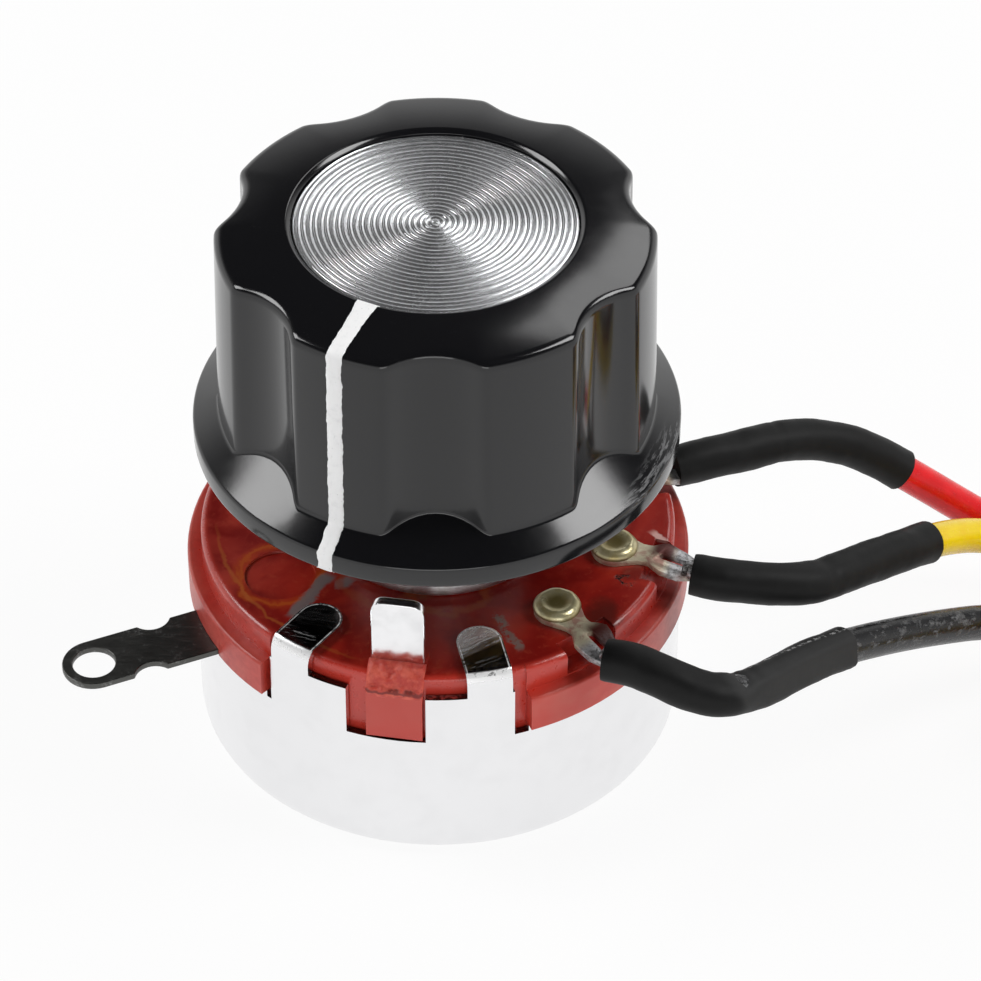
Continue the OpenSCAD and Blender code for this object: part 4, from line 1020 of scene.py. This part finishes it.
def make_solder():
    """Solder between each lug's prongs, drawn along the bared wire into the sleeve."""
    points, faces = [], []
    sides, rings = 22, 26
    for number, (bearing, colour) in enumerate(zip(TERMINALS, ("black", "yellow", "red"))):
        start = Vector(at_bearing(bearing, 14.15, 0, PLATEAU + 0.1))
        route = [Vector(p) for p in ROUTES[colour]["sleeve"]]
        end = route[0] + (route[1] - route[0]).normalized() * 0.6
        run = end - start
        along = run.normalized()
        side = along.cross(Vector((0, 0, 1))).normalized()
        up = side.cross(along)
        base = len(points)
        for k in range(rings):
            t = k / (rings - 1)
            heap = bell((t - 0.55) / 0.3)
            r = (0.42 + 0.2 * heap) * min(1.0, sqrt(max(t, 0.0) * 5.0) + 0.05) * (1.0 if t < 0.97 else 0.8)
            centre = start + run * t + Vector((0, 0, -0.02 + 0.06 * heap))
            for c, s in circle(sides):
                r2 = r * (1 + 0.14 * rough(t * 6, c * 1.4, s * 1.4 + number * 5))
                spot = centre + side * c * r2 * 1.12 + up * s * r2 * 0.8
                points.append((spot.x, spot.y, max(spot.z, PLATEAU - 0.2)))
        faces += banded(rings, sides, base)
        faces += [disc(sides, base)[::-1], disc(sides, base + (rings - 1) * sides)]
    blobs = outward(piece_from("solder_heaps", points, faces))
    settle(blobs, grey_solder(), STILL, "solder_joints", slot="solder")


def along_line(line, spacing):
    """Points at an even spacing on a line, with their headings."""
    total = line_length(line)
    count = max(2, int(total / spacing))
    spots, walked, k = [], 0.0, 0
    for i in range(count + 1):
        goal = total * i / count
        while k < len(line) - 2 and walked + (line[k + 1] - line[k]).length < goal:
            walked += (line[k + 1] - line[k]).length
            k += 1
        step = line[k + 1] - line[k]
        spots.append(line[k] + step * share_of((goal - walked) / max(step.length, 1e-9)))
    ways = [(spots[min(i + 1, count)] - spots[max(i - 1, 0)]).normalized() for i in range(count + 1)]
    return spots, ways


def swept(name, spots, ways, radius_at, sides=32, inner=1.04, lip=8):
    """A tube round a line, open at its far end. radius_at(share, angle) is its radius."""
    points, last = [], len(spots) - 1
    rings = [(k, 0.0) for k in range(last + 1)] + [(last, 0.5)] + [(last - k, 1.0) for k in range(lip)]
    for k, turned_in in rings:
        side = ways[k].cross(Vector((0, 0, 1))).normalized()
        up = side.cross(ways[k])
        for j in range(sides):
            b = 2 * pi * j / sides
            r = radius_at(k / last, b) * (1 - turned_in) + inner * turned_in
            points.append(tuple(spots[k] + side * cos(b) * r + up * sin(b) * r))
    faces = banded(len(rings), sides) + [disc(sides)[::-1], disc(sides, len(points) - sides)]
    return outward(piece_from(name, points, faces, sharp=70))


def sleeve_radius(seed, flat=(), crease=(), facet=None):
    """A shrunk sleeve's radius: a drawn-in start, soft waves, flat stretches, creases and a facet."""

    def radius_at(t, b):
        r = SLEEVE - 0.07 * exp(-t / 0.03) + 0.03 * max(0.0, (t - 0.93) / 0.07)
        r += 0.035 * rough(t * 9 + seed, cos(b) * 0.9, sin(b) * 0.9)
        r += 0.012 * rough(t * 34 + seed, cos(b) * 2.6, sin(b) * 2.6)
        for centre, spread, amount, bearing in flat:
            r += amount * bell((t - centre) / spread) * cos(2 * (b - bearing))
        for centre, spread, amount, bearing, width in crease:
            r -= amount * bell((t - centre) / spread) * exp(-cos((b - bearing) / 2) ** 2 / width)
        if facet:
            start, middle, half, edge = facet
            away = abs((b - middle + pi) % (2 * pi) - pi)
            if away < half:
                pressed = edge * cos(half) / cos(away)
            else:
                pressed = r + (edge - r) * exp(-(away - half) / 0.16)
            r += (pressed + 0.008 * rough(t * 60, b * 5.0) - r) * share_of((t - start) / 0.08)
        return r

    return radius_at


def make_sleeves():
    shapes = {
        "red": dict(seed=1.0, flat=((0.4, 0.1, 0.05, 0.0),), crease=((0.42, 0.012, 0.05, -pi / 2, 0.9),)),
        "yellow": dict(seed=5.0, flat=((0.45, 0.12, 0.07, 0.0),), crease=((0.46, 0.03, 0.1, -pi / 2, 0.5),)),
        "black": dict(seed=9.0, flat=((0.42, 0.13, 0.13, 0.0), (0.8, 0.16, 0.05, 0.0)),
                      crease=((0.47, 0.025, 0.2, -pi / 2, 0.4), (0.52, 0.02, 0.1, -pi / 2, 0.5)),
                      facet=(0.47, 0.35, 0.6, 1.3)),
    }
    made = {}
    sleeving = shrink_sleeve()
    for colour, shape in shapes.items():
        route = [Vector(p) for p in ROUTES[colour]["sleeve"]]
        early = 0.75 if colour == "red" else 0.12
        line = smooth_line([route[0] + (route[0] - route[1]).normalized() * early] + route, 6)
        spots, ways = along_line(line, 0.22)
        tube = swept("sleeve_on_" + colour, spots, ways, sleeve_radius(**shape))
        made[colour] = settle(tube, sleeving, STILL, "sleeve_" + colour, slot="sleeving")
    return made


def make_lead(colour, finish):
    line = lead_line(colour)
    curve = bpy.data.curves.new(colour + "_lead", "CURVE")
    curve.dimensions, curve.fill_mode = "3D", "FULL"
    curve.bevel_depth, curve.bevel_resolution = LEAD * MM, 6
    curve.use_fill_caps = True
    spline = curve.splines.new("POLY")
    spline.points.add(len(line) - 1)
    for point, spot in zip(spline.points, line):
        point.co = (*(spot * MM), 1.0)
    spline.use_smooth = True
    lead = placed(colour + "_lead", curve)
    settle(lead, finish, STILL, "lead_" + colour, "coil_" + colour, "tail_" + colour, slot=colour + "_wire")
    return lead


def make_tie():
    """A strap round the coil's crossing: a loop with rounded corners."""
    outer, inner = (3.1, 5.85), (2.6, 5.25)
    centre = (COIL.x, COIL.y + COIL_RADIUS, 5.85)
    points, steps, half, width = [], 48, 0.9, 6

    def corner(size, t):
        c, s = cos(t), sin(t)
        n = 0.28
        return copysign(abs(c) ** n, c) * size[0], copysign(abs(s) ** n, s) * size[1]

    for k in range(steps):
        t = 2 * pi * (k + 0.5) / steps
        (yo, zo), (yi, zi) = corner(outer, t), corner(inner, t)
        ym, zm = (yo + yi) / 2, (zo + zi) / 2
        for x, y, z in ((-half + 0.12, yo, zo), (half - 0.12, yo, zo), (half, ym, zm), (half - 0.12, yi, zi),
                        (-half + 0.12, yi, zi), (-half, ym, zm)):
            points.append((centre[0] + x, centre[1] + y, centre[2] + z))
    strap = outward(piece_from("coil_strap", points, banded(steps, width, around=True), sharp=50))
    plastic = soft_pvc("black_strap", (0.015, 0.015, 0.016), (0.03, 0.03, 0.032), 0.4)
    return settle(strap, plastic, STILL, "coil_tie", slot="strap")


def emptied(owner, *kinds):
    """An owner's node tree with just these new shader nodes."""
    owner.use_nodes = True
    tree = owner.node_tree
    tree.nodes.clear()
    return tree, [tree.nodes.new("ShaderNode" + kind) for kind in kinds]


def make_floor():
    """A pale floor that takes shadows and is seen as white."""
    mesh = bpy.data.meshes.new("studio_floor")
    mesh.from_pydata([(-4, -4, 0), (4, -4, 0), (4, 4, 0), (-4, 4, 0)], [], [(0, 1, 2, 3)])
    floor = placed("studio_floor", mesh)
    floor.location = (0, 0, -0.00002)
    material = bpy.data.materials.new("pale_floor")
    tree, (path, paint, glow, both, out) = emptied(
        material, "LightPath", "BsdfDiffuse", "Emission", "MixShader", "OutputMaterial")
    camera, glossy, through = (Value(tree, path.outputs["Is %s Ray" % kind])
                               for kind in ("Camera", "Glossy", "Transmission"))
    feed(tree, both.inputs[0], camera.larger(glossy).larger(through) * 0.92)
    feed(tree, paint.inputs["Color"], (0.9, 0.9, 0.9))
    feed(tree, glow.inputs["Color"], (1.0, 1.0, 1.0))
    for source, port in ((paint, both.inputs[1]), (glow, both.inputs[2]), (both, out.inputs["Surface"])):
        tree.links.new(source.outputs[0], port)
    mesh.materials.append(material)


def make_world():
    """Pale round the horizon and dark overhead, as a room with a dark ceiling."""
    world = bpy.context.scene.world = bpy.data.worlds.new("studio_room")
    tree, (spot, parts, back) = emptied(world, "TexCoord", "SeparateXYZ", "Background")
    out = tree.nodes.new("ShaderNodeOutputWorld")
    tree.links.new(spot.outputs["Generated"], parts.inputs[0])
    feed(tree, back.inputs["Color"], (1.0, 1.0, 1.0))
    feed(tree, back.inputs["Strength"], Value(tree, parts.outputs[2]).rise(0.18, 0.55, 1.0, 0.03))
    tree.links.new(back.outputs[0], out.inputs["Surface"])


make_floor()
make_world()
soft_box("left_box", 168, 44, 0.5, (0.22, 0.2), 8.0)
soft_box("right_box", 0, 50, 0.5, (0.2, 0.22), 9.0)
soft_box("back_box", 62, 46, 0.6, (0.2, 0.26), 3.2)
soft_box("front_box", -90, 20, 0.7, (0.5, 0.16), 2.6)
bpy.context.scene.view_settings.view_transform = "Standard"

make_knob()
make_pointer()
make_inlay()
make_bushing()
make_rivets()
make_solder()
sleeves = make_sleeves()
strap = make_tie()
plug = softened("plug_housing", "moulded_plug", 0.18)
settle(plug, plug_nylon(), STILL, "plug_housing", slot="plug_plastic")
make_lead("black", scuffed_black_pvc())
make_lead("red", soft_pvc("red_pvc", (0.9, 0.008, 0.014), (0.72, 0.006, 0.01), 0.24))
make_lead("yellow", soft_pvc("yellow_pvc", (0.98, 0.72, 0.006), (0.94, 0.6, 0.004), 0.24))

lug_tin = tinned_lug("stained_tin", (0.62, 0.56, 0.4), (0.42, 0.24, 0.19))
for bearing, node in zip(TERMINALS, ("terminal_start", "terminal_wiper", "terminal_end")):
    make_lug(bearing, node, lug_tin)
make_broken_post()
for finish, node, name, slot, *edges in (
        (dull_plate(), "earth_lug", "pressed_earth_lug", "dark_lug", 0.07),
        (bright_nickel("plate_nickel", (0.9, 0.9, 0.91), 0.14, 0.75), "locating_lug", "locating_plate", "nickel",
         0.1, 3),
        (phenolic_red(), "base_moulding", "phenolic_moulding", "moulding", 0.09, 2, 40, shallow_recess),
        (bright_nickel(stained=0.95, edge_sheen_above=12.3, fingers=FINGERS), "can", "drawn_can", "nickel",
         0.17, 3, 40, fuller_fold)):
    settle(softened(node, name, *edges), finish, STILL, node, slot=slot)

# Hidden nodes keep the solids' own shapes.
for finish, *nodes in (
        (bright_nickel("shaft_nickel", (0.74, 0.74, 0.75), 0.2), "shaft"),
        (turned_brass(), "knob_bush", "wiper_spring"),
        (dark_steel(), "grub_screws", "retaining_clip"),
        (layered_board("brown_laminate", (0.16, 0.07, 0.03), (0.09, 0.035, 0.015)), "rotor_disc"),
        (layered_board("pressboard", (0.4, 0.26, 0.12), (0.28, 0.17, 0.07)), "insulator_disc"),
        (carbon_film(), "carbon_brush", "resistance_track"),
        (lug_tin, "collector_ring", "plug_contacts")):
    for node in nodes:
        finish.on(node)
